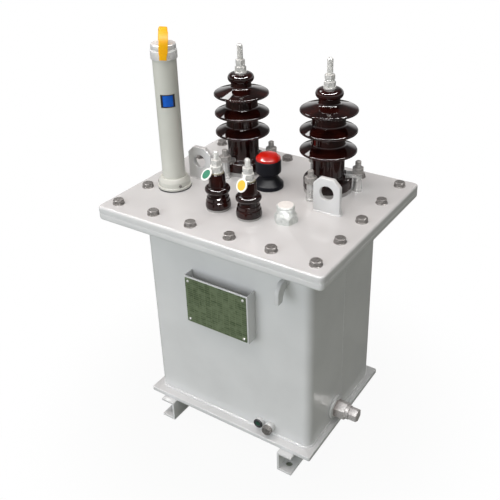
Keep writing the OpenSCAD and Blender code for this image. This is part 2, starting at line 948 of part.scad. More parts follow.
module filler_plug() {
    color(zinc)
        translate([plug_x, plug_y, cover_top]) {
            hexagon(plug_af, plug_hex_h);
            rotate_extrude()
                polygon([[0, 0], [plug_barrel_r, 0], [plug_barrel_r, plug_h - plug_bevel],
                    [plug_barrel_r - plug_bevel, plug_h], [0, plug_h]]);
        }
}

// Folded sheet with two side flanges on the wall, open at the top and bottom
module nameplate_bracket() {
    color(paint)
        translate([plate_x, -tank_d / 2 - plate_depth, base_top + plate_z])
            linear_extrude(plate_h)
                difference() {
                    translate([-plate_w / 2, 0])
                        square([plate_w, plate_depth]);
                    translate([plate_t - plate_w / 2, plate_t])
                        square([plate_w - 2 * plate_t, plate_depth]);
                }
}

// Turns its child's +Z out of the front wall at the given place
module on_front_wall(x, z, out) {
    translate([x, -tank_d / 2 - out, base_top + z])
        rotate([90, 0, 0])
            children();
}

module earth_bosses() {
    color(paint) {
        on_front_wall(earth_x, earth_z, 0)
            cylinder(r = earth_r, h = earth_left_l);
        on_front_wall(earth_x + earth_pitch, earth_z, 0)
            cylinder(r = earth_r, h = earth_right_l);
    }
}

module earth_cap() {
    dimple_r = earth_cap_r / 2;
    color(rubber)
        on_front_wall(earth_x, earth_z, earth_left_l)
            rotate_extrude()
                polygon([[0, 0], [earth_cap_r, 0], [earth_cap_r, earth_cap_t], [dimple_r, earth_cap_t],
                    [dimple_r, earth_cap_t / 2], [0, earth_cap_t / 2]]);
}

// Turns its child's +Z out of the right wall at the drain
module at_drain(out) {
    translate([tank_w / 2 + out, drain_y, base_top + drain_z])
        rotate([0, 90, 0])
            children();
}

module drain_pad() {
    color(paint)
        at_drain(0)
            cylinder(r = drain_pad_r, h = drain_pad_t);
}

module drain_body() {
    color(zinc)
        at_drain(drain_pad_t) {
            hexagon(drain_body_af, drain_hex_l);
            cylinder(r = drain_neck_r, h = drain_body_l);
        }
}

module drain_cap() {
    color(zinc)
        at_drain(drain_pad_t + drain_body_l)
            hexagon(drain_cap_af, drain_cap_l);
}

base_plate();
foot_left();
foot_right();
tank_wall();
tank_flange();
cover_gasket();
cover();
lifting_lug_left();
lifting_lug_right();
rope_hook_front();
rope_hook_rear();
hv_gasket_left();
hv_gasket_right();
hv_bushing_left();
hv_bushing_right();
hv_terminal_left();
hv_terminal_right();
hv_clamps_left();
hv_clamps_right();
lv_gasket_left();
lv_gasket_right();
lv_bushing_left();
lv_bushing_right();
lv_terminal_left();
lv_terminal_right();
relief_valve_body();
relief_valve_cap();
gauge_gasket();
gauge_collar();
gauge_tube();
gauge_window();
gauge_cap();
gauge_strap();
filler_plug();
nameplate_bracket();
earth_bosses();
earth_cap();
drain_pad();
drain_body();
drain_cap();
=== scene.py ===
import math
import bpy
from mathutils import Euler, Matrix, Vector


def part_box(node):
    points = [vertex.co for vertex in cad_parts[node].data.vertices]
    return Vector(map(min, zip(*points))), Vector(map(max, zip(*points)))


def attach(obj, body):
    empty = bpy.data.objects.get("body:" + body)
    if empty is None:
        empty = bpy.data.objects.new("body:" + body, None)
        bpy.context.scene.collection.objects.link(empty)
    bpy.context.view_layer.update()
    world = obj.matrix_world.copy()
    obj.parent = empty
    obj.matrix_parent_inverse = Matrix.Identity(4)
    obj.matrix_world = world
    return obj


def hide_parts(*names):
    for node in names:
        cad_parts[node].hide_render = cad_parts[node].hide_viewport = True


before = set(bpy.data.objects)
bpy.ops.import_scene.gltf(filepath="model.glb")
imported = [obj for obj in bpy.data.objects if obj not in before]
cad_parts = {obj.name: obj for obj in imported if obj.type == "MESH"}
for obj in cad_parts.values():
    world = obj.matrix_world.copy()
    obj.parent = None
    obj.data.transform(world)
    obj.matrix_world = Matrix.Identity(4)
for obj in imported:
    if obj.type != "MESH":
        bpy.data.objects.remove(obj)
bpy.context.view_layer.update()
mm = 0.001
fullTurn = 2 * math.pi
sides = ("left", "right")
print("frame loaded:", len(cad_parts), "nodes")

# shared by the tools below, in mm and degrees
bench = {"merge": 0.002, "arcStep": 15, "sideShare": 0.49, "flatUnder": 0.5, "sharpOver": 30, "slack": 0.1,
         "hexCrown": 0.46, "hexClear": 1}
thread = {"depth": 0.6, "crest": (0.42, 0.58), "runIn": 1.5, "facets": 20, "merge": 0.01, "tipShare": 0.72}
weld = {"step": 3, "ripple": 0.5, "rippleSize": 5}

# sockets that go by number, of Map Range and of a colour Mix
mapIn, fromLow, fromHigh, toLow, toHigh = range(5)
mixShare, mixA, mixB, mixOut = 0, 6, 7, 2


# tools of the bench
def sRgb(hexCode):  # written colour to linear light
    parts = [int(hexCode[i:i + 2], 16) / 255 for i in (1, 3, 5)]
    return [c / 12.92 if c <= 0.04045 else ((c + 0.055) / 1.055) ** 2.4 for c in parts] + [1.0]


def addNode(tree, kind, settings=None, links=None):
    node = tree.nodes.new("ShaderNode" + kind)
    for key, value in (settings or {}).items():
        if isinstance(key, int) or key in node.inputs:
            node.inputs[key].default_value = value
        else:
            setattr(node, key, value)
    for key, source in (links or {}).items():
        tree.links.new(source, node.inputs[key])
    return node


def perMm(size):  # texture scale for a pattern of this size in millimetres
    return 1 / (size * mm)


def newFinish(name, colour, roughness, sockets=None):
    material = bpy.data.materials.new(name)
    material.use_nodes = True
    tree = material.node_tree
    tree.nodes.clear()
    shader = addNode(tree, "BsdfPrincipled", {"Base Color": sRgb(colour), "Roughness": roughness,
                                              **(sockets or {})})
    addNode(tree, "OutputMaterial", links={"Surface": shader.outputs[0]})
    place = addNode(tree, "TexCoord").outputs["Object"]
    return material, tree, shader, place


def putAway():  # nothing edited, nothing selected
    if bpy.context.mode != "OBJECT":
        bpy.ops.object.mode_set(mode="OBJECT")
    bpy.ops.object.select_all(action="DESELECT")


def grab(piece):
    putAway()
    piece.select_set(True)
    bpy.context.view_layer.objects.active = piece


def editAll(piece):
    grab(piece)
    bpy.ops.object.mode_set(mode="EDIT")
    bpy.ops.mesh.select_all(action="SELECT")


def editEdges(piece, rule):  # edit mode with the edges that the rule picks, ends given in mm
    grab(piece)
    mesh = piece.data
    bpy.context.tool_settings.mesh_select_mode = (False, True, False)
    for part in (mesh.polygons, mesh.edges, mesh.vertices):
        part.foreach_set("select", [False] * len(part))
    for edge in mesh.edges:
        ends = [mesh.vertices[i] for i in edge.vertices]
        if rule(ends[0].co / mm, ends[1].co / mm):
            edge.select = ends[0].select = ends[1].select = True
    bpy.ops.object.mode_set(mode="EDIT")


def bevelEdges(piece, rule, width, segments=3):
    editEdges(piece, rule)
    bpy.ops.mesh.bevel(offset=width * mm, segments=segments, profile=0.5, clamp_overlap=True)
    putAway()


def upright(a, b):  # an edge that climbs more than a millimetre
    return abs(a.z - b.z) > 1


def useModifier(piece, kind, **settings):
    grab(piece)
    step = piece.modifiers.new(kind.lower(), kind)
    for key, value in settings.items():
        setattr(step, key, value)
    bpy.ops.object.modifier_apply(modifier=step.name)


def cutWith(piece, cutter, operation):  # the cutter is used up
    useModifier(piece, "BOOLEAN", operation=operation, object=cutter, solver="EXACT")
    bpy.data.objects.remove(cutter)


def settleHere(piece):  # place and turn kept in the mesh
    grab(piece)
    bpy.ops.object.transform_apply(location=True, rotation=True, scale=True)
    return piece


def settle(piece, place=(0, 0, 0), turn=(0, 0, 0)):  # place in mm, turn in degrees
    piece.location = Vector(place) * mm
    piece.rotation_euler = [math.radians(a) for a in turn]
    return settleHere(piece)


def copyPiece(piece, name, place=(0, 0, 0), turn=(0, 0, 0)):
    twin = bpy.data.objects.new(name, piece.data.copy())
    bpy.context.collection.objects.link(twin)
    return settle(twin, place, turn)


def joinPieces(name, pieces):
    putAway()
    for piece in pieces:
        piece.select_set(True)
    bpy.context.view_layer.objects.active = pieces[0]
    bpy.ops.object.join()
    pieces[0].name = name
    return pieces[0]


def smooth(piece, sharp=35):
    grab(piece)
    bpy.ops.object.shade_smooth_by_angle(angle=math.radians(sharp))


def cleanUp(piece, sharp=35):  # doubles merged, faces outwards, smooth but for real corners
    editAll(piece)
    bpy.ops.mesh.remove_doubles(threshold=bench["merge"] * mm)
    bpy.ops.mesh.normals_make_consistent(inside=False)
    putAway()
    smooth(piece, sharp)
    return piece


def softOutline(corners):  # corners are (across, up, rounding)
    points = []
    for i, (across, up, rounding) in enumerate(corners):
        here = Vector((across, up))
        if not rounding:
            points.append(here)
            continue
        before = Vector(corners[i - 1][:2]) - here
        after = Vector(corners[(i + 1) % len(corners)][:2]) - here
        half = before.angle(after) / 2
        most = bench["sideShare"]  # so two roundings never meet on one side
        reach = min(rounding / math.tan(half), most * before.length, most * after.length)
        radius = reach * math.tan(half)
        middle = here + (before.normalized() + after.normalized()).normalized() * radius / math.sin(half)
        first = here + before.normalized() * reach - middle
        last = here + after.normalized() * reach - middle
        side = math.copysign(1, first.x * last.y - first.y * last.x)
        sweep = math.pi - 2 * half
        steps = max(2, math.ceil(sweep / math.radians(bench["arcStep"])))
        for k in range(steps + 1):
            points.append(middle + Matrix.Rotation(side * sweep * k / steps, 2) @ first)
    return points


def traceWire(name, points):  # one wire through the points, drawn by extruding a single vertex
    putAway()
    bpy.ops.mesh.primitive_plane_add(size=mm, location=(0, 0, 0))
    wire = bpy.context.object
    wire.name = name
    bpy.ops.object.mode_set(mode="EDIT")
    bpy.ops.mesh.select_mode(type="VERT")
    bpy.ops.mesh.merge(type="CENTER")
    points = [Vector(p) for p in points]
    bpy.ops.transform.translate(value=points[0] * mm)
    for here, there in zip(points, points[1:]):
        bpy.ops.mesh.extrude_vertices_move(TRANSFORM_OT_translate={"value": (there - here) * mm})
    return wire


def lathe(name, corners, steps=72):  # half outline from axis to axis, spun about Z
    wire = traceWire(name, [(p.x, 0, p.y) for p in softOutline(corners)])
    bpy.ops.mesh.select_all(action="SELECT")
    bpy.ops.mesh.spin(steps=steps, angle=fullTurn, center=(0, 0, 0), axis=(0, 0, 1))
    return cleanUp(wire)


def roundDisc(name, radius, thickness, rounding=0.5, steps=40):
    return lathe(name, [(0, 0, 0), (radius, 0, 0), (radius, thickness, rounding), (0, thickness, 0)], steps)


def flatRing(name, inner, outer, thickness, footRound, topRound, steps):
    return lathe(name, [(inner, 0, 0), (outer, 0, footRound), (outer, thickness, topRound),
                        (inner, thickness, 0), (inner, 0, 0)], steps)


def hexBlock(name, flats, height, bothEnds=True, slope=30):  # hexagon with its corners turned down by a cone
    putAway()
    corner = flats / 2 / math.cos(math.pi / 6)
    bpy.ops.mesh.primitive_cylinder_add(vertices=6, radius=corner * mm, depth=height * mm,
                                        location=(0, 0, height / 2 * mm))
    block = settleHere(bpy.context.object)
    block.name = name
    crown = bench["hexCrown"] * flats
    reach = corner + bench["hexClear"]
    fall = (reach - crown) * math.tan(math.radians(slope))
    low = fall if bothEnds else 0
    cone = lathe("cone", [(0, 0, 0), (crown if bothEnds else reach, 0, 0), (reach, low, 0),
                          (reach, height - fall, 0), (crown, height, 0), (0, height, 0)], 48)
    cutWith(block, cone, "INTERSECT")
    smooth(block, sharp=25)
    return block


def threadRod(name, radius, pitch, length, tip):  # helical thread with a flat foot and a chamfered tip
    root = radius - thread["depth"] * pitch
    ridge = [(root, 0.0)] + [(radius, level) for level in thread["crest"]]
    turns = math.ceil(length / pitch) + 2
    wire = traceWire(name, [(r, 0, (k + level - thread["runIn"]) * pitch)
                            for k in range(turns) for r, level in ridge])
    bpy.ops.object.mode_set(mode="OBJECT")
    useModifier(wire, "SCREW", axis="Z", angle=fullTurn, screw_offset=pitch * mm, steps=thread["facets"],
                render_steps=thread["facets"], use_merge_vertices=True, merge_threshold=thread["merge"] * mm)
    for height, out in ((0, -1), (length - tip, 1)):
        editAll(wire)
        bpy.ops.mesh.bisect(plane_co=(0, 0, height * mm), plane_no=(0, 0, out), use_fill=True, clear_outer=True)
    bpy.ops.mesh.extrude_region_move(TRANSFORM_OT_translate={"value": (0, 0, tip * mm)})
    bpy.ops.transform.resize(value=(thread["tipShare"], thread["tipShare"], 1))
    return cleanUp(wire, sharp=25)


def boxBetween(name, low, high):
    putAway()
    bpy.ops.mesh.primitive_cube_add(size=1, location=(low + high) / 2 * mm, scale=(high - low) * mm)
    block = settleHere(bpy.context.object)
    block.name = name
    return block


def roundedSlab(name, node, corner, topRound, footRound):  # plate in a node's own box
    low, high = boxOf(node)
    slab = boxBetween(name, low, high)
    bevelEdges(slab, upright, corner, 6)
    bevelEdges(slab, lambda a, b: min(a.z, b.z) > high.z - bench["slack"], topRound, 4)
    bevelEdges(slab, lambda a, b: max(a.z, b.z) < low.z + bench["slack"], footRound, 4)
    smooth(slab)
    return slab


def refine(name, node, width, segments=3, skip=None):  # copy of a node with its sharp edges eased
    piece = bpy.data.objects.new(name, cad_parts[node].data.copy())
    bpy.context.collection.objects.link(piece)
    piece.data.materials.clear()
    grab(piece)
    bpy.ops.mesh.customdata_custom_splitnormals_clear()
    editAll(piece)
    bpy.ops.mesh.remove_doubles(threshold=bench["merge"] * mm)
    bpy.ops.mesh.dissolve_limited(angle_limit=math.radians(bench["flatUnder"]))
    bpy.ops.mesh.select_mode(type="EDGE")
    bpy.ops.mesh.select_all(action="DESELECT")
    bpy.ops.mesh.edges_select_sharp(sharpness=math.radians(bench["sharpOver"]))
    bpy.ops.object.mode_set(mode="OBJECT")
    mesh = piece.data
    sharp = {tuple(sorted(e.vertices)) for e in mesh.edges if e.select}
    spots = {tuple(round(c, 4) for c in v.co / mm): v.index for v in mesh.vertices}

    def rule(a, b):
        ends = [spots[tuple(round(c, 4) for c in p)] for p in (a, b)]
        return tuple(sorted(ends)) in sharp and not (skip and skip(a, b))

    bevelEdges(piece, rule, width, segments)
    smooth(piece)
    return piece


def walk(points, step, closed):  # points at an even step along a path
    path = [Vector(p) for p in points] + ([Vector(points[0])] if closed else [])
    spots = []
    for here, there in zip(path, path[1:]):
        count = max(1, round((there - here).length / step))
        spots += [here.lerp(there, k / count) for k in range(count)]
    return spots if closed else spots + [path[-1]]


weldRipple = bpy.data.textures.new("weldRipple", "CLOUDS")
weldRipple.noise_scale = weld["rippleSize"] * mm


def weldBead(name, points, radius, closed=True):  # rippled bead of filler along a path
    bead = traceWire(name, walk(points, weld["step"], closed))
    if closed:
        bpy.ops.object.mode_set(mode="OBJECT")
        ends = (0, len(bead.data.vertices) - 1)
        for vertex in bead.data.vertices:
            vertex.select = vertex.index in ends
        bpy.ops.object.mode_set(mode="EDIT")
        bpy.ops.mesh.edge_face_add()
    grab(bead)
    bpy.ops.object.convert(target="CURVE")
    bead.data.bevel_depth = radius * mm
    bead.data.bevel_resolution = 2
    bead.data.use_fill_caps = True
    bpy.ops.object.convert(target="MESH")
    bead = bpy.context.object
    cleanUp(bead, sharp=80)
    useModifier(bead, "DISPLACE", texture=weldRipple, texture_coords="LOCAL",
                strength=radius * weld["ripple"] * mm)
    return bead


def boxOf(node):  # a node's corners in mm
    low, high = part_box(node)
    return Vector(low) / mm, Vector(high) / mm


def footOf(node):  # middle of a node's box, at its lowest level, in mm
    low, high = boxOf(node)
    return Vector(((low.x + high.x) / 2, (low.y + high.y) / 2, low.z))


def fit(piece, material, slotName, *nodes):  # finish, body and the nodes it stands for; slotName is not used
    piece.data.materials.clear()
    piece.data.materials.append(material)
    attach(piece, "root")
    if nodes:
        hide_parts(*nodes)


def paintTank(piece, *nodes):  # in the tank's own enamel
    fit(piece, tankEnamel, "tank_paint", *nodes)


def paintNode(node, material):
    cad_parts[node].material_slots[0].material = material


# finishes
def layOver(tree, shader, tones, clouds, smear, gloss, skin, relief):  # noises for tone, gloss, relief
    tone = addNode(tree, "MapRange", {fromLow: 0.35, fromHigh: 0.65}, {mapIn: clouds.outputs["Fac"]})
    shade = addNode(tree, "Mix", {"data_type": "RGBA", mixA: sRgb(tones[0]), mixB: sRgb(tones[1])},
                    {mixShare: tone.outputs[0]})
    tree.links.new(shade.outputs[mixOut], shader.inputs["Base Color"])
    shine = addNode(tree, "MapRange", {fromLow: 0.3, fromHigh: 0.7, toLow: gloss[0], toHigh: gloss[1]},
                    {mapIn: smear.outputs["Fac"]})
    tree.links.new(shine.outputs[0], shader.inputs["Roughness"])
    bump = addNode(tree, "Bump", {"Strength": relief[0], "Distance": relief[1] * mm},
                   {"Height": skin.outputs["Fac"]})
    tree.links.new(bump.outputs[0], shader.inputs["Normal"])


def enamel(name, deep, pale, roughness, peel, shine=0.5):  # sprayed alkyd: soft clouds of tone, orange peel
    material, tree, shader, place = newFinish(name, pale, roughness, {"Specular IOR Level": shine})
    clouds = addNode(tree, "TexNoise", {"Scale": perMm(90), "Detail": 3.0}, {"Vector": place})
    smear = addNode(tree, "TexNoise", {"Scale": perMm(30), "Detail": 4.0}, {"Vector": place})
    skin = addNode(tree, "TexNoise", {"Scale": perMm(peel), "Detail": 1.0}, {"Vector": place})
    gloss = (roughness * 0.92, roughness * 1.1)
    layOver(tree, shader, (deep, pale), clouds, smear, gloss, skin, (0.07, 0.15))
    return material


def brownGlaze():  # iron-brown feldspar glaze: deep gloss, redder where it runs thin, tiny dark specks
    material, tree, shader, place = newFinish("brownGlaze", "#220B08", 0.05,
                                              {"IOR": 1.5, "Specular IOR Level": 0.46})
    pool = addNode(tree, "TexNoise", {"Scale": perMm(22), "Detail": 3.0}, {"Vector": place})
    thin = addNode(tree, "MapRange", {fromLow: 0.38, fromHigh: 0.66}, {mapIn: pool.outputs["Fac"]})
    tone = addNode(tree, "Mix", {"data_type": "RGBA", mixA: sRgb("#160605"), mixB: sRgb("#2D0E0A")},
                   {mixShare: thin.outputs[0]})
    speck = addNode(tree, "TexNoise", {"Scale": perMm(1.6), "Detail": 2.0}, {"Vector": place})
    spots = addNode(tree, "MapRange", {fromLow: 0.62, fromHigh: 0.7}, {mapIn: speck.outputs["Fac"]})
    colour = addNode(tree, "Mix", {"data_type": "RGBA", mixB: sRgb("#0E0403")},
                     {mixShare: spots.outputs[0], mixA: tone.outputs[mixOut]})
    tree.links.new(colour.outputs[mixOut], shader.inputs["Base Color"])
    flow = addNode(tree, "TexNoise", {"Scale": perMm(12), "Detail": 1.0}, {"Vector": place})
    bump = addNode(tree, "Bump", {"Strength": 0.15, "Distance": 0.2 * mm}, {"Height": flow.outputs["Fac"]})
    tree.links.new(bump.outputs[0], shader.inputs["Normal"])
    return material


def bareMetal(name, deep, pale, roughness, grain, metallic):  # plated or dulled steel: grain in tone and gloss
    material, tree, shader, place = newFinish(name, pale, roughness, {"Metallic": metallic})
    spangle = addNode(tree, "TexNoise", {"Scale": perMm(grain), "Detail": 4.0}, {"Vector": place})
    gloss = (roughness * 1.25, roughness * 0.75)
    layOver(tree, shader, (deep, pale), spangle, spangle, gloss, spangle, (0.1, 0.1))
    return material


def moulded(name, deep, pale, roughness, sockets=None):  # injection-moulded plastic or rubber: faint flow marks
    material, tree, shader, place = newFinish(name, pale, roughness, sockets)
    flow = addNode(tree, "TexNoise", {"Scale": perMm(7), "Detail": 3.0}, {"Vector": place})
    shade = addNode(tree, "Mix", {"data_type": "RGBA", mixA: sRgb(deep), mixB: sRgb(pale)},
                    {mixShare: flow.outputs["Fac"]})
    tree.links.new(shade.outputs[mixOut], shader.inputs["Base Color"])
    skin = addNode(tree, "TexNoise", {"Scale": perMm(1.2), "Detail": 1.0}, {"Vector": place})
    bump = addNode(tree, "Bump", {"Strength": 0.1, "Distance": 0.1 * mm}, {"Height": skin.outputs["Fac"]})
    tree.links.new(bump.outputs[0], shader.inputs["Normal"])
    return material


def etchedPlate():  # green-filled etched aluminium: small cells of an empty table, worn in clouds
    material, tree, shader, place = newFinish("greenEtchedPlate", "#52604A", 0.32, {"Metallic": 0.25})
    facing = addNode(tree, "Mapping", {"Rotation": (math.radians(-90), 0, 0)}, {"Vector": place})
    table = addNode(tree, "TexBrick", {"offset": 0.0, "Scale": 1.0, "Color1": sRgb("#4A583F"),
                                       "Color2": sRgb("#627055"), "Mortar": sRgb("#7C8966"),
                                       "Mortar Size": 0.3 * mm, "Brick Width": 12 * mm, "Row Height": 4 * mm},
                    {"Vector": facing.outputs[0]})
    worn = addNode(tree, "TexNoise", {"Scale": perMm(9), "Detail": 6.0}, {"Vector": place})
    amount = addNode(tree, "MapRange", {fromLow: 0.4, fromHigh: 0.7, toHigh: 0.7}, {mapIn: worn.outputs["Fac"]})
    colour = addNode(tree, "Mix", {"data_type": "RGBA", mixB: sRgb("#788668")},
                     {mixShare: amount.outputs[0], mixA: table.outputs["Color"]})
    tree.links.new(colour.outputs[mixOut], shader.inputs["Base Color"])
    return material


# name, deep and pale tone, roughness, then peel and shine, or grain in mm and metallic
tankEnamel = enamel("greyGlossEnamel", "#CDCECD", "#D3D4D3", 0.17, 2.5)
gaugeEnamel = enamel("warmGreySatinEnamel", "#BFC0B7", "#C9CAC1", 0.3, 1.8)
blackEnamel = enamel("blackSatinEnamel", "#15161B", "#212229", 0.4, 1.8, 0.1)
glaze = brownGlaze()
zincPlate = bareMetal("brightZincPlate", "#BFC0BD", "#E2E1DD", 0.36, 2.5, 0.25)
dullZinc = bareMetal("weatheredZinc", "#85827E", "#9F9C98", 0.55, 3.0, 0.1)
drainZinc = bareMetal("mattZincPlate", "#ABA7A5", "#CBC7C5", 0.45, 3.0, 0.15)
brightSteel = bareMetal("brightClampSteel", "#CACAC8", "#DCDCDA", 0.25, 12.0, 0.6)
paleZinc = bareMetal("hotDipZinc", "#B9BCB8", "#D6D9D5", 0.42, 6.0, 0.1)
# lighter copy of the plug's zinc for its top face: painted light from above
plugTopPaintedLight = bareMetal("zincTopPaintedLight", "#E6E4DE", "#F1EFE9", 0.4, 6.0, 0.0)
boltSteel = bareMetal("dulledBoltSteel", "#6C6966", "#918E8B", 0.4, 3.0, 0.6)
chrome = bareMetal("satinChrome", "#D6D6D6", "#ECECEA", 0.32, 9.0, 0.35)
oilRubber = moulded("oilProofRubber", "#1B1B1C", "#2C2C2E", 0.6)
greyRubber = moulded("greyOilProofRubber", "#8F8D8A", "#A5A3A0", 0.6)
sealOlive = moulded("oliveSealRubber", "#7A7356", "#948C6C", 0.55)
redCap = moulded("mouldedRed", "#BC170E", "#D02014", 0.17)
yellowStrap = moulded("mouldedYellow", "#FFB000", "#FFC400", 0.45, {"Specular IOR Level": 0.2})
blueWindow = moulded("blueAcrylic", "#0B4FB0", "#1567D6", 0.08, {"Coat Weight": 0.6})
darkFrame = moulded("blackMouldedFrame", "#10161E", "#1B222B", 0.35)
tagWhite = moulded("whiteTagPlastic", "#EDEDE8", "#FAFAF5", 0.35)
tagGreen = moulded("greenTagPlastic", "#2E8062", "#3B8F70", 0.35)
tagYellow = moulded("yellowTagPlastic", "#EDB82E", "#F7C748", 0.35)
earthGreen = moulded("darkGreenPlastic", "#0F3A2A", "#17503A", 0.4)
platePrint = etchedPlate()
print("finishes mixed")

# tank, base plate and feet
tank = {"bend": 14, "beadFoot": 2.6, "beadSeam": 2.2, "footEase": 0.7, "seamSink": 1.5, "baseCorner": 3,
        "baseRound": 1}
paintNode("tank_wall", tankEnamel)
wallLow, wallHigh = boxOf("tank_wall")


def tankRing(level):  # the tank's outline at one level
    x, y, bend = wallHigh.x, wallHigh.y, tank["bend"]
    corners = [(-x, -y, bend), (x, -y, bend), (x, y, bend), (-x, y, bend)]
    return [(p.x, p.y, level) for p in softOutline(corners)]


basePlate = roundedSlab("basePlate", "base_plate", tank["baseCorner"], tank["baseRound"], tank["baseRound"])
paintTank(basePlate, "base_plate")
for side in sides:
    foot = refine("foot" + side.title(), "foot_" + side, tank["footEase"])
    paintTank(foot, "foot_" + side)
paintTank(weldBead("tankFootWeld", tankRing(wallLow.z), tank["beadFoot"]))
seamX = wallHigh.x - tank["seamSink"]
seam = weldBead("tankSeamWeld", [(seamX, 0, wallLow.z), (seamX, 0, wallHigh.z)], tank["beadSeam"], False)
paintTank(seam)
print("tank stands on its feet")

# flange, gasket and cover, one painted rim
rim = {"corner": 8, "topRound": 3.6, "jointRound": 0.4, "gasketShow": 0.15, "gasketEase": 0.1, "cutHalf": 20}
coverHigh = boxOf("cover")[1]
coverTop = coverHigh.z
flangeFoot = footOf("tank_flange").z
cover = roundedSlab("coverPlate", "cover", rim["corner"], rim["topRound"], rim["jointRound"])
paintTank(cover, "cover")
flange = roundedSlab("tankFlange", "tank_flange", rim["corner"], rim["jointRound"], rim["topRound"])
opening = boxBetween("opening", Vector((-wallHigh.x, -wallHigh.y, flangeFoot - rim["cutHalf"])),
                     Vector((wallHigh.x, wallHigh.y, flangeFoot + rim["cutHalf"])))
bevelEdges(opening, upright, tank["bend"], 6)
cutWith(flange, opening, "DIFFERENCE")
paintTank(flange, "tank_flange")
gasket = refine("coverGasket", "cover_gasket", rim["gasketEase"], 1)
gasketHigh = boxOf("cover_gasket")[1]
editAll(gasket)
bpy.ops.transform.resize(value=((coverHigh.x - rim["gasketShow"]) / gasketHigh.x,
                                (coverHigh.y - rim["gasketShow"]) / gasketHigh.y, 1),
                         center_override=(0, 0, 0))
putAway()
paintTank(gasket, "cover_gasket")

# cover bolts with washers above, nuts and bolt ends below
bolt = {"flats": 16, "head": 6.5, "washerR": 10, "washerT": 1.2, "radius": 6, "pitch": 1.75, "tail": 15,
        "tip": 1.2, "nut": 10, "lineX": 185, "lineY": 146, "alongX": 6, "alongY": 5, "twist": 37}


def boltSpots():
    xs = [-bolt["lineX"] + 2 * bolt["lineX"] * i / (bolt["alongX"] - 1) for i in range(bolt["alongX"])]
    ys = [-bolt["lineY"] + 2 * bolt["lineY"] * j / (bolt["alongY"] - 1) for j in range(bolt["alongY"])]
    rows = [(x, y) for x in xs for y in (ys[0], ys[-1])]
    return rows + [(x, y) for x in (xs[0], xs[-1]) for y in ys[1:-1]]


boltHead = settle(hexBlock("boltHead", bolt["flats"], bolt["head"], False), (0, 0, bolt["washerT"]))
boltTop = joinPieces("boltTop", [boltHead, roundDisc("boltWasher", bolt["washerR"], bolt["washerT"])])
boltNut = settle(hexBlock("boltNut", bolt["flats"], bolt["nut"]), (0, 0, -bolt["nut"]))
boltTail = threadRod("boltTail", bolt["radius"], bolt["pitch"], bolt["tail"], bolt["tip"])
boltFoot = joinPieces("boltFoot", [boltNut, settle(boltTail, turn=(180, 0, 0))])
tops, feet = [], []
for i, (x, y) in enumerate(boltSpots()):
    twist = (i * bolt["twist"]) % 60  # no two heads tightened to the same angle
    tops.append(copyPiece(boltTop, "top", (x, y, coverTop), (0, 0, twist)))
    feet.append(copyPiece(boltFoot, "foot", (x, y, flangeFoot), (0, 0, twist)))
bpy.data.objects.remove(boltTop)
bpy.data.objects.remove(boltFoot)
fit(joinPieces("coverBolts", tops), boltSteel, "zinc_steel")
fit(joinPieces("coverNuts", feet), boltSteel, "zinc_steel")
print("cover bolted down")

# lifting lugs and rope hooks
lug = {"ease": 2, "bead": 1.7, "rawFoot": 1}
for side in sides:
    node = "lifting_lug_" + side
    low, high = boxOf(node)
    lugPlate = refine("liftingLug" + side.title(), node, lug["ease"],
                      skip=lambda a, b: max(a.z, b.z) < coverTop + lug["rawFoot"])
    foot = [(low.x, low.y), (high.x, low.y), (high.x, high.y), (low.x, high.y)]
    bead = weldBead("lugWeld", [(x, y, coverTop) for x, y in foot], lug["bead"])
    paintTank(joinPieces(lugPlate.name, [lugPlate, bead]), node)

hook = {"ease": 1.3, "bead": 2.2, "weldLength": 10}
for end, wallY in (("front", -wallHigh.y), ("rear", wallHigh.y)):
    node = "rope_hook_" + end
    low, high = boxOf(node)
    weldEnd = high.z - hook["weldLength"]
    hookPlate = refine("ropeHook" + end.title(), node, hook["ease"])
    foot = [(low.x, high.z), (high.x, high.z), (high.x, weldEnd), (low.x, weldEnd)]
    bead = weldBead("hookWeld", [(x, wallY, z) for x, z in foot], hook["bead"])
    paintTank(joinPieces(hookPlate.name, [hookPlate, bead]), node)
print("lugs and hooks welded on")

# high-voltage bushings
hvBushing = {"shoulderR": 41, "shoulderH": 18, "footRound": 1.2, "shoulderRound": 4, "trunkR": 27.5,
             "trunkRound": 3, "shedR": 47.5, "sheds": 3, "firstShed": 65, "shedPitch": 34.5, "shedFall": 10.5,
             "lip": 2.3, "lipRound": 2.1, "cove": 4.5, "neckR": 17.5, "neckH": 19.5, "bulbR": 22.6,
             "bulbH": 16.5}


def halfRound(neck, radius, level, height, steps=14):  # bulging ring, from where it meets the neck
    half = height / 2
    middle = radius - half
    first = -math.acos((neck - middle) / half)
    angles = [first + (math.pi / 2 - first) * k / steps for k in range(steps + 1)]
    return [(middle + half * math.cos(a), level + half + half * math.sin(a), 0) for a in angles]


def hvCorners(b):
    corners = [(0, 0, 0), (b["shoulderR"], 0, b["footRound"]),
               (b["shoulderR"], b["shoulderH"], b["shoulderRound"]),
               (b["trunkR"], b["shoulderH"], b["trunkRound"])]
    for i in range(b["sheds"]):
        level = b["firstShed"] + i * b["shedPitch"]
        above = b["neckR"] if i == b["sheds"] - 1 else b["trunkR"]
        corners += [(b["trunkR"], level, b["cove"]), (b["shedR"], level - b["lip"], b["lipRound"]),
                    (b["shedR"], level + b["lip"], b["lipRound"]), (above, level + b["shedFall"], b["cove"])]
    bulbZ = b["firstShed"] + (b["sheds"] - 1) * b["shedPitch"] + b["neckH"]
    return corners + halfRound(b["neckR"], b["bulbR"], bulbZ, b["bulbH"]) + [(0, bulbZ + b["bulbH"], 0)]


hvModel = lathe("hvBushing", hvCorners(hvBushing), 96)
for side in sides:
    node = "hv_bushing_" + side
    spot = footOf(node)
    twin = copyPiece(hvModel, "hvBushing" + side.title(), (spot.x, spot.y, boxOf("hv_gasket_" + side)[1].z))
    fit(twin, glaze, "brown_porcelain", node)
    paintNode("hv_gasket_" + side, greyRubber)
bpy.data.objects.remove(hvModel)
print("high-voltage porcelain in place")

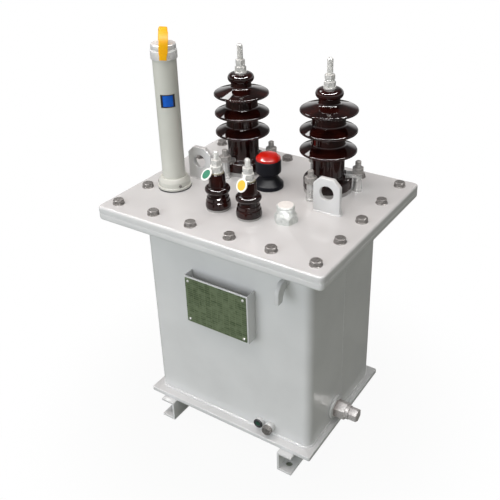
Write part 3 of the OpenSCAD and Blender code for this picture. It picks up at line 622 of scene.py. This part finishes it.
# clamps round the bushings, each with its stud, washer and nut
clamp = {"ease": 1.1, "count": 3, "first": 25, "radius": 50, "flats": 18, "nut": 9, "washerR": 10,
         "washerT": 1.6, "studR": 5, "pitch": 1.5, "stud": 22, "tip": 1, "twist": 17}
clampNut = settle(hexBlock("clampNut", clamp["flats"], clamp["nut"]), (0, 0, clamp["washerT"]))
clampStud = threadRod("clampStud", clamp["studR"], clamp["pitch"], clamp["stud"], clamp["tip"])
clampWasher = roundDisc("clampWasher", clamp["washerR"], clamp["washerT"])
clampSet = joinPieces("clampSet", [clampNut, clampStud, clampWasher])
for side in sides:
    node = "hv_clamps_" + side
    spot = footOf("hv_bushing_" + side)
    level = boxOf(node)[1].z
    fit(refine("hvClamps" + side.title(), node, clamp["ease"]), brightSteel, "zinc_steel", node)
    sets = []
    for k in range(clamp["count"]):
        angle = clamp["first"] + k * 360 / clamp["count"]
        out = Matrix.Rotation(math.radians(angle), 2) @ Vector((clamp["radius"], 0))
        sets.append(copyPiece(clampSet, "set", (spot.x + out.x, spot.y + out.y, level),
                              (0, 0, angle + clamp["twist"] * k)))
    fit(joinPieces("hvClampNuts" + side.title(), sets), dullZinc, "zinc_steel")
bpy.data.objects.remove(clampSet)

# terminal studs, each with two washers and two nuts
terminal = {"hvStudR": 5, "lvStudR": 4.25, "pitch": 1.5, "tip": 1.5, "lowerFlats": 17, "upperFlats": 15,
            "nut": 8.5, "lowerTurn": 12, "upperTurn": 41, "washerR": 10.25, "upperWasherR": 7.5, "washerT": 3}


def terminalStack(name, studR, height):
    t = terminal
    step = t["washerT"] + t["nut"]
    lower = settle(hexBlock("lowerNut", t["lowerFlats"], t["nut"]), (0, 0, t["washerT"]),
                   (0, 0, t["lowerTurn"]))
    upper = settle(hexBlock("upperNut", t["upperFlats"], t["nut"]), (0, 0, step + t["washerT"]),
                   (0, 0, t["upperTurn"]))
    ring = settle(roundDisc("upperWasher", t["upperWasherR"], t["washerT"]), (0, 0, step))
    stud = threadRod("stud", studR, t["pitch"], height, t["tip"])
    return joinPieces(name, [stud, lower, upper, ring, roundDisc("lowerWasher", t["washerR"], t["washerT"])])


for kind in ("hv", "lv"):
    low, high = boxOf(kind + "_terminal_left")
    stack = terminalStack(kind + "Terminal", terminal[kind + "StudR"], high.z - low.z)
    for side in sides:
        node = kind + "_terminal_" + side
        fit(copyPiece(stack, kind + "Terminal" + side.title(), footOf(node)), zincPlate, "zinc_steel", node)
    bpy.data.objects.remove(stack)
print("terminals screwed on")

# low-voltage bushings, each with a sealing ring round its terminal
lvBushing = {"footR": 20.6, "footH": 5, "footRound": 1, "footBend": 2.5, "bellR": 16.2, "bellH": 24.5,
             "rings": 2, "ringOut": 0.5, "ringIn": 0.8, "ringH": 1.4, "ringRound": 1.2, "collarR": 20.6,
             "collarH": 12, "capR": 14, "capStep": 1, "capTopR": 12.6, "capH": 22.5, "capRound": 1.5,
             "sealIn": 1.2, "sealT": 1.2, "sealRound": 0.4, "sealPlay": 0.1}


def lvCorners(b):
    collarTop = b["bellH"] + b["collarH"]
    top = collarTop + b["capH"]
    rise = (b["bellH"] - b["footH"]) / (b["rings"] + 1)
    fall = (b["footR"] - b["bellR"]) / (b["rings"] + 1)
    bell = [(b["footR"], 0, b["footRound"]), (b["footR"], b["footH"], b["footBend"])]
    for k in range(1, b["rings"] + 1):  # throwing rings round the bell
        radius = b["footR"] - k * fall
        level = b["footH"] + k * rise
        bell += [(radius + b["ringOut"], level, b["ringRound"]),
                 (radius - b["ringIn"], level + b["ringH"], b["ringRound"])]
    cap = [(b["capR"], collarTop + b["capStep"], b["capStep"]), (b["capTopR"], top, b["capRound"]), (0, top, 0)]
    return [(0, 0, 0)] + bell + halfRound(b["bellR"], b["collarR"], b["bellH"], b["collarH"]) + cap


lvModel = lathe("lvBushing", lvCorners(lvBushing))
for side in sides:
    node = "lv_bushing_" + side
    spot = footOf(node)
    twin = copyPiece(lvModel, "lvBushing" + side.title(), (spot.x, spot.y, boxOf("lv_gasket_" + side)[1].z))
    fit(twin, glaze, "brown_porcelain", node)
    b = lvBushing
    seal = flatRing("lvSeal" + side.title(), terminal["washerR"] + b["sealPlay"], b["capTopR"] - b["sealIn"],
                    b["sealT"], 0, b["sealRound"], 48)
    fit(settle(seal, (spot.x, spot.y, boxOf(node)[1].z)), sealOlive, "seal_rubber")
    paintNode("lv_gasket_" + side, greyRubber)
bpy.data.objects.remove(lvModel)

# round phase tags hung on the low-voltage studs, each with a ring and a tongue
tag = {"radius": 11, "thick": 1.6, "rim": 2.8, "rimRound": 0.6, "lipRound": 0.2, "sink": 0.6, "faceLow": 0.7,
       "faceTop": 0.2, "play": 0.1, "tongue": 5, "tongueEase": 0.3, "ringR": 9.2, "ringT": 1.3,
       "ringRound": 0.4}
tagSpots = {"left": ((-43, -89, 504), (44.4, 0, -22.5), tagGreen),
            "right": ((24.5, -90, 502), (61.7, 0, -12.5), tagYellow)}


def tongueBetween(start, end):  # flat strip from one point to another
    putAway()
    way = end - start
    bpy.ops.mesh.primitive_cube_add(size=1, location=(start + end) / 2 * mm,
                                    rotation=way.to_track_quat("Z", "Y").to_euler(),
                                    scale=(tag["tongue"] * mm, tag["ringT"] * mm, way.length * mm))
    strip = settleHere(bpy.context.object)
    bevelEdges(strip, lambda a, b: True, tag["tongueEase"], 2)
    return strip


for side, (place, turn, colour) in tagSpots.items():
    r, thick = tag["radius"], tag["thick"]
    inner = r - tag["rim"]
    faceR = inner - tag["play"]
    disc = lathe("tagRim", [(0, 0, 0), (r, 0, tag["rimRound"]), (r, thick, tag["rimRound"]),
                            (inner, thick, tag["lipRound"]), (inner, thick - tag["sink"], 0),
                            (0, thick - tag["sink"], 0)], 48)
    face = lathe("phaseTagFace" + side.title(), [
        (0, thick - tag["faceLow"], 0), (faceR, thick - tag["faceLow"], 0),
        (faceR, thick - tag["faceTop"], tag["lipRound"]), (0, thick - tag["faceTop"], 0)], 48)
    settle(disc, place, turn)
    stud = footOf("lv_terminal_" + side)
    level = stud.z + terminal["washerT"] + terminal["nut"]
    ring = flatRing("tagRing", terminal["upperWasherR"] + tag["play"], tag["ringR"], tag["ringT"],
                    tag["ringRound"], tag["ringRound"], 40)
    settle(ring, (stud.x, stud.y, level))
    lean = Euler([math.radians(a) for a in turn]).to_matrix()
    rimTop = Vector(place) + lean @ Vector((0, r - tag["rimRound"], thick / 2))
    outward = (rimTop - stud).to_2d().normalized() * (tag["ringR"] - tag["rimRound"])
    ringEdge = Vector((stud.x + outward.x, stud.y + outward.y, level + tag["ringT"] / 2))
    tongue = tongueBetween(ringEdge, rimTop)
    fit(joinPieces("phaseTag" + side.title(), [disc, ring, tongue]), tagWhite, "yellow_strap")
    fit(settle(face, place, turn), colour, "yellow_strap")
print("tags hung")

# pressure relief valve
valve = {"edge": 0.4, "footR": 25.5, "footH": 9, "footCut": 2, "footRound": 1.5, "waistR": 14, "waistZ": 21,
         "waistRound": 6, "headR": 21.8, "headZ": 28, "headRound": 3, "headTop": 50, "topRound": 1,
         "capR": 21, "capSide": 3.5, "capRound": 2.5, "domeIn": 6, "domeFall": 2, "domeRound": 5, "capH": 11}
v = valve
valveBody = lathe("reliefValveBody", [
    (0, 0, 0), (v["footR"], 0, v["edge"]), (v["footR"], v["footH"] - v["footCut"], v["footRound"]),
    (v["footR"] - v["footCut"], v["footH"], v["footRound"]), (v["waistR"], v["waistZ"], v["waistRound"]),
    (v["headR"], v["headZ"], v["headRound"]), (v["headR"], v["headTop"], v["topRound"]), (0, v["headTop"], 0)])
fit(settle(valveBody, footOf("relief_valve_body")), blackEnamel, "black_casting", "relief_valve_body")
valveCap = lathe("reliefValveCap", [
    (0, 0, 0), (v["capR"], 0, v["edge"]), (v["capR"], v["capSide"], v["capRound"]),
    (v["capR"] - v["domeIn"], v["capH"] - v["domeFall"], v["domeRound"]), (0, v["capH"], 0)])
fit(settle(valveCap, footOf("relief_valve_cap")), redCap, "red_plastic", "relief_valve_cap")

# oil gauge
gauge = {"collarR": 28.5, "edge": 0.6, "ringH": 4, "ringRound": 1.2, "step": 2, "stepRound": 0.4, "bodyH": 12,
         "bodyRound": 1.5, "collarH": 19, "neckR": 22.5, "neckRound": 1, "screwAngles": (-30, 90, 210),
         "screwR": 2.3, "screwT": 1.6, "facing": -49, "paneW": 16.5, "paneH": 18.5, "paneEase": 0.2,
         "frameOut": 1.025, "frameUp": 1.005, "frameMiddle": 11, "cutHalf": 30, "strapEase": 0.9}
g = gauge
paintNode("gauge_gasket", oilRubber)
paintNode("gauge_tube", gaugeEnamel)
gaugeSpot = footOf("gauge_collar")
bodyR = g["collarR"] - g["step"]
collar = lathe("gaugeCollar", [
    (0, 0, 0), (g["collarR"], 0, g["edge"]), (g["collarR"], g["ringH"], g["ringRound"]),
    (bodyR, g["ringH"], g["stepRound"]), (bodyR, g["bodyH"], g["bodyRound"]),
    (g["neckR"], g["collarH"], g["neckRound"]), (0, g["collarH"], 0)])
fit(settle(collar, gaugeSpot), gaugeEnamel, "gauge_paint", "gauge_collar")
collarScrews = []
for angle in g["screwAngles"]:
    turn = math.radians(angle)
    out = Vector((math.cos(turn) * bodyR, math.sin(turn) * bodyR, (g["ringH"] + g["bodyH"]) / 2))
    screw = hexBlock("screw", 2 * g["screwR"], g["screwT"], False)
    collarScrews.append(settle(screw, gaugeSpot + out, (0, 90, angle)))
fit(joinPieces("collarScrews", collarScrews), boltSteel, "zinc_steel")
pane = refine("gaugeWindow", "gauge_window", g["paneEase"], 1)
fit(pane, blueWindow, "blue_window", "gauge_window")
bezel = copyPiece(pane, "gaugeWindowFrame")
paneLow, paneHigh = boxOf("gauge_window")
editAll(bezel)
bpy.ops.transform.resize(value=(g["frameOut"], g["frameOut"], g["frameUp"]),
                         center_override=(gaugeSpot.x * mm, gaugeSpot.y * mm,
                                          (paneLow.z + g["frameMiddle"]) * mm))
cutHalf = Vector((g["cutHalf"], g["paneW"] / 2, g["paneH"] / 2))
cutter = boxBetween("paneCutter", -cutHalf, cutHalf)
settle(cutter, (gaugeSpot.x, gaugeSpot.y, (paneLow.z + paneHigh.z) / 2), (0, 0, g["facing"]))
cutWith(bezel, cutter, "DIFFERENCE")
fit(bezel, darkFrame, "black_casting")
gaugeCap = {"ringR": 21.3, "ringH": 14, "edge": 0.6, "ringRound": 0.8, "grooveR": 18.9, "grooveRound": 0.2,
            "lidZ": 15.2, "lidR": 20.1, "lidEdge": 0.4, "lidRound": 1.8, "height": 24}
c = gaugeCap
cap = lathe("gaugeCap", [
    (0, 0, 0), (c["ringR"], 0, c["edge"]), (c["ringR"], c["ringH"], c["ringRound"]),
    (c["grooveR"], c["ringH"], c["grooveRound"]), (c["grooveR"], c["lidZ"], c["grooveRound"]),
    (c["lidR"], c["lidZ"], c["lidEdge"]), (c["lidR"], c["height"], c["lidRound"]), (0, c["height"], 0)])
fit(settle(cap, footOf("gauge_cap")), chrome, "gauge_chrome", "gauge_cap")
fit(refine("gaugeStrap", "gauge_strap", g["strapEase"]), yellowStrap, "yellow_strap", "gauge_strap")
print("gauge built up")

# filler plug
plug = {"flats": 33, "hex": 15, "hexSlope": 58, "barrelR": 14.2, "barrelRound": 1.6, "height": 28, "crown": 5,
        "grooves": 4, "groove": 0.8, "grooveEdge": 0.2, "grooveRound": 0.3, "pitch": 2.3, "turn": 45,
        "face": 0.3, "faceR": 12.4, "faceRound": 0.1}
p = plug
plugSpot = footOf("filler_plug")
barrelTop = p["height"] - p["face"]
outline = [(0, 0, 0), (p["barrelR"], 0, 0)]
for k in range(p["grooves"]):  # worn thread under the crown
    level = p["height"] - p["crown"] - (p["grooves"] - 1 - k) * p["pitch"]
    outline += [(p["barrelR"], level - p["groove"], p["grooveEdge"]),
                (p["barrelR"] - p["groove"], level, p["grooveRound"]),
                (p["barrelR"], level + p["groove"], p["grooveEdge"])]
barrel = lathe("plugBarrel", outline + [(p["barrelR"], barrelTop, p["barrelRound"]), (0, barrelTop, 0)])
plugHex = hexBlock("plugHex", p["flats"], p["hex"], False, p["hexSlope"])
plugBody = settle(joinPieces("fillerPlug", [plugHex, barrel]), plugSpot, (0, 0, p["turn"]))
fit(plugBody, paleZinc, "zinc_steel", "filler_plug")
# top face in the lighter zinc: painted light standing in for the stronger light from above
plugFace = roundDisc("plugFace", p["faceR"], p["face"], p["faceRound"], 72)
fit(settle(plugFace, plugSpot + Vector((0, 0, barrelTop))), plugTopPaintedLight, "zinc_steel")

# nameplate bracket with a bare plate and its four screws
plate = {"bracketEase": 0.6, "margin": 2.5, "thick": 0.8, "corner": 2, "edge": 0.3, "screwR": 2.4, "screwIn": 6,
         "screwSide": 1.0, "screwTop": 1.4, "screwCrown": 0.85, "screwRound": 0.6}
bracketLow, bracketHigh = boxOf("nameplate_bracket")
bracket = refine("nameplateBracket", "nameplate_bracket", plate["bracketEase"])
paintTank(bracket, "nameplate_bracket")
m = plate["margin"]
sheetLow = Vector((bracketLow.x + m, bracketLow.y - plate["thick"], bracketLow.z + m))
sheetHigh = Vector((bracketHigh.x - m, bracketLow.y, bracketHigh.z - m))
sheet = boxBetween("namePlate", sheetLow, sheetHigh)
bevelEdges(sheet, lambda a, b: abs(a.y - b.y) > bench["slack"], plate["corner"], 4)
bevelEdges(sheet, lambda a, b: max(a.y, b.y) < sheetLow.y + bench["slack"] / 2, plate["edge"], 2)
fit(sheet, platePrint, "tank_paint")
screws = []
for x in (sheetLow.x + plate["screwIn"], sheetHigh.x - plate["screwIn"]):
    for z in (sheetLow.z + plate["screwIn"], sheetHigh.z - plate["screwIn"]):
        crownR = plate["screwR"] * plate["screwCrown"]
        head = lathe("plateScrew", [(0, 0, 0), (plate["screwR"], 0, 0),
                                    (crownR, plate["screwSide"], plate["screwRound"]),
                                    (0, plate["screwTop"], 0)], 24)
        screws.append(settle(head, (x, sheetLow.y, z), (90, 0, 0)))
fit(joinPieces("plateScrews", screws), zincPlate, "zinc_steel")
print("nameplate screwed on")

# earth bosses: a rubber cap with a green eye on one, a bolt on the other
earth = {"bossEase": 0.8, "flats": 16, "head": 6.5, "washerR": 9, "washerT": 1.5, "boltIn": 9.5, "capR": 8.8,
         "capT": 3, "capEdge": 0.5, "capRound": 1.2, "floorT": 1.2, "eyeR": 4.6, "eyeLow": 1.0, "eyeSide": 2.2,
         "eyeTop": 2.6, "eyeRound": 0.6, "eyePlay": 0.1}
e = earth
paintTank(refine("earthBosses", "earth_bosses", e["bossEase"]), "earth_bosses")
bossLow, bossHigh = boxOf("earth_bosses")
capLow, capHigh = boxOf("earth_cap")
capMiddle = (capLow + capHigh) / 2
capSeat = (capMiddle.x, capHigh.y, capMiddle.z)
ring = lathe("earthCap", [
    (0, 0, 0), (e["capR"], 0, e["capEdge"]), (e["capR"], e["capT"], e["capRound"]),
    (e["eyeR"], e["capT"], e["capEdge"]), (e["eyeR"], e["floorT"], 0), (0, e["floorT"], 0)], 48)
fit(settle(ring, capSeat, (90, 0, 0)), oilRubber, "seal_rubber", "earth_cap")
eyeR = e["eyeR"] - e["eyePlay"]
eye = lathe("earthCapEye", [(0, e["eyeLow"], 0), (eyeR, e["eyeLow"], 0), (eyeR, e["eyeSide"], e["eyeRound"]),
                            (0, e["eyeTop"], 0)], 32)
fit(settle(eye, capSeat, (90, 0, 0)), earthGreen, "seal_rubber")
earthHead = settle(hexBlock("earthHead", e["flats"], e["head"], False), (0, 0, e["washerT"]))
earthBolt = joinPieces("earthBolt", [earthHead, roundDisc("earthWasher", e["washerR"], e["washerT"])])
settle(earthBolt, (bossHigh.x - e["boltIn"], bossLow.y, capMiddle.z), (90, 0, 0))
fit(earthBolt, boltSteel, "zinc_steel")

# drain, its zinc darker brown towards its root at the pad
drain = {"ease": 0.8, "padEase": 1, "rootBrown": 10, "rootBrownShare": 0.75, "rootBrownTone": "#5C4C43"}
drainTree = drainZinc.node_tree
drainShader = drainTree.nodes["Principled BSDF"]
plainTone = drainShader.inputs["Base Color"].links[0].from_socket
drainPlace = addNode(drainTree, "SeparateXYZ", links={0: addNode(drainTree, "TexCoord").outputs["Object"]})
rootX = boxOf("drain_pad")[1].x * mm
# brown mixed in strongest at the pad face, fading out along the body
nearRoot = addNode(drainTree, "MapRange", {fromLow: rootX, fromHigh: rootX + drain["rootBrown"] * mm,
                                           toLow: drain["rootBrownShare"], toHigh: 0.0},
                   {mapIn: drainPlace.outputs["X"]})
rootBrown = addNode(drainTree, "Mix", {"data_type": "RGBA", mixB: sRgb(drain["rootBrownTone"])},
                {mixShare: nearRoot.outputs[0], mixA: plainTone})
drainTree.links.new(rootBrown.outputs[mixOut], drainShader.inputs["Base Color"])
paintTank(refine("drainPad", "drain_pad", drain["padEase"]), "drain_pad")
fit(refine("drainBody", "drain_body", drain["ease"]), drainZinc, "zinc_steel", "drain_body")
fit(refine("drainCap", "drain_cap", drain["ease"]), drainZinc, "zinc_steel", "drain_cap")
print("drain closed")

# studio in metres: floor, flag, lamps and world
studio = {"floor": 30, "floorTone": "#90958A", "fadeFrom": 0.2, "fadeTo": 0.5, "glowNear": 0.95, "flag": 8,
          "flagLift": 0.003, "flagTone": "#4A4A45", "ambient": 0.47, "wallTop": 0.12, "ceilingFrom": 0.4,
          "ceilingLevel": 0.15, "aim": (0, 0, 0.35)}
frontBox = {"place": (-0.6, -2.35, 0.72), "power": 41, "size": 2.2, "tint": (0.905, 0.94, 1)}
topBox = {"place": (-0.3, -0.4, 2.6), "power": 41, "size": 2.0, "tint": (1, 0.89, 0.865)}
windowGlow = {"place": (-1.95, 0.58, 2.65), "power": 26, "size": 1.6, "sizeY": 0.5}
strips = {"count": 13, "power": 25, "size": 0.3, "sizeY": 0.12, "reach": 2.5, "lift": 52, "fan": 180,
          "heading": -57, "height": 0.5}


def shownRays(tree):  # 1 for camera, glossy and transmission rays
    rays = addNode(tree, "LightPath")
    first = addNode(tree, "Math", {"operation": "ADD"}, {0: rays.outputs["Is Camera Ray"],
                                                        1: rays.outputs["Is Glossy Ray"]})
    return addNode(tree, "Math", {"operation": "ADD", "use_clamp": True},
                   {0: first.outputs[0], 1: rays.outputs["Is Transmission Ray"]}).outputs[0]


def paleFloor():  # matt white sweep: keeps a soft shadow near the object and goes to plain white away from it
    material = bpy.data.materials.new("paleFloor")
    material.use_nodes = True
    tree = material.node_tree
    tree.nodes.clear()
    matt = addNode(tree, "BsdfDiffuse", {"Color": sRgb(studio["floorTone"])})
    glow = addNode(tree, "Emission", {"Color": sRgb("#FFFFFF"), "Strength": 1.0})
    place = addNode(tree, "TexCoord").outputs["Object"]
    away = addNode(tree, "VectorMath", {"operation": "LENGTH"}, {0: place})
    fade = addNode(tree, "MapRange", {fromLow: studio["fadeFrom"], fromHigh: studio["fadeTo"],
                                      toLow: studio["glowNear"], toHigh: 1.0,
                                      "interpolation_type": "SMOOTHSTEP"}, {mapIn: away.outputs["Value"]})
    shown = addNode(tree, "Math", {"operation": "MULTIPLY"}, {0: fade.outputs[0], 1: shownRays(tree)})
    footLow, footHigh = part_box("foot_right")  # no glow under the feet
    spread = addNode(tree, "SeparateXYZ", links={0: place})
    across = addNode(tree, "Math", {"operation": "ABSOLUTE"}, {0: spread.outputs["X"]})
    underX = addNode(tree, "Math", {"operation": "COMPARE", 1: (footLow[0] + footHigh[0]) / 2,
                                    2: (footHigh[0] - footLow[0]) / 2}, {0: across.outputs[0]})
    underY = addNode(tree, "Math", {"operation": "COMPARE", 1: 0.0, 2: footHigh[1]}, {0: spread.outputs["Y"]})
    under = addNode(tree, "Math", {"operation": "MULTIPLY"}, {0: underX.outputs[0], 1: underY.outputs[0]})
    clear = addNode(tree, "MapRange", {toLow: 1.0, toHigh: 0.0}, {mapIn: under.outputs[0]})
    share = addNode(tree, "Math", {"operation": "MULTIPLY"}, {0: shown.outputs[0], 1: clear.outputs[0]})
    mix = addNode(tree, "MixShader", links={0: share.outputs[0], 1: matt.outputs[0], 2: glow.outputs[0]})
    addNode(tree, "OutputMaterial", links={"Surface": mix.outputs[0]})
    return material


def addPlane(name, size, lift, material):
    putAway()
    bpy.ops.mesh.primitive_plane_add(size=size, location=(0, 0, lift))
    plane = bpy.context.object
    plane.name = name
    plane.data.materials.append(material)
    return plane


floor = addPlane("floor", studio["floor"], 0, paleFloor())
flagCloth = newFinish("blackMolton", studio["flagTone"], 0.9)[0]  # dark cloth that only reflections see
flag = addPlane("darkFlag", studio["flag"], studio["flagLift"], flagCloth)
for sight in ("camera", "diffuse", "transmission", "shadow", "volume_scatter"):
    setattr(flag, "visible_" + sight, False)


def addLamp(name, lamp, place, aim):
    putAway()
    bpy.ops.object.light_add(type="AREA", location=place)
    light = bpy.context.object
    light.name = name
    light.data.energy = lamp["power"]
    light.data.size = lamp["size"]
    if "sizeY" in lamp:
        light.data.shape = "RECTANGLE"
        light.data.size_y = lamp["sizeY"]
    if "tint" in lamp:
        light.data.color = lamp["tint"]
    light.rotation_euler = (Vector(aim) - Vector(place)).to_track_quat("-Z", "Y").to_euler()
    return light


for name, lamp in (("frontSoftbox", frontBox), ("topSoftbox", topBox)):  # they leave no glare on the part
    addLamp(name, lamp, lamp["place"], studio["aim"]).visible_glossy = False
addLamp("windowGlow", windowGlow, windowGlow["place"], studio["aim"]).visible_diffuse = False
lift = math.radians(strips["lift"])
for k in range(strips["count"]):  # row of ceiling strips, seen as glints only
    fan = math.radians(strips["heading"] + strips["fan"] * (k / (strips["count"] - 1) - 0.5))
    out = strips["reach"] * math.cos(lift)
    spot = (out * math.cos(fan), out * math.sin(fan), strips["height"] + strips["reach"] * math.sin(lift))
    addLamp("ceilingStrip", strips, spot, (0, 0, strips["height"])).visible_diffuse = False

world = bpy.data.worlds.new("studioWorld")
bpy.context.scene.world = world
world.use_nodes = True
sky = world.node_tree
sky.nodes.clear()
heading = addNode(sky, "SeparateXYZ", links={0: addNode(sky, "TexCoord").outputs["Generated"]})
ceiling = addNode(sky, "MapRange", {fromLow: studio["wallTop"], fromHigh: studio["ceilingFrom"], toLow: 1.0,
                                    toHigh: studio["ceilingLevel"], "interpolation_type": "SMOOTHSTEP"},
                  {mapIn: heading.outputs["Z"]})  # white walls under a dark ceiling
strength = addNode(sky, "MapRange", {toLow: studio["ambient"]},
                   {mapIn: shownRays(sky), toHigh: ceiling.outputs[0]})
backdrop = addNode(sky, "Background", {"Color": sRgb("#FFFFFF")}, {"Strength": strength.outputs[0]})
addNode(sky, "OutputWorld", links={"Surface": backdrop.outputs[0]})

# camera fitted to the photograph
view = {"place": (0.5926, -0.8963, 0.9779), "tilt": 62.30, "turn": 33.13, "roll": -1.23, "sensor": 36,
        "lens": 51.70, "shiftX": -0.0311, "shiftY": -0.0815}
putAway()
bpy.ops.object.camera_add(location=view["place"])
camera = bpy.context.object
aim = Euler((math.radians(view["tilt"]), 0, math.radians(view["turn"]))).to_matrix()
camera.rotation_euler = (aim @ Matrix.Rotation(math.radians(view["roll"]), 3, "Z")).to_euler()
camera.data.sensor_width = view["sensor"]
camera.data.lens = view["lens"]
camera.data.shift_x = view["shiftX"]
camera.data.shift_y = view["shiftY"]
bpy.context.scene.camera = camera
bpy.context.scene.view_settings.view_transform = "Standard"
print("studio lit")
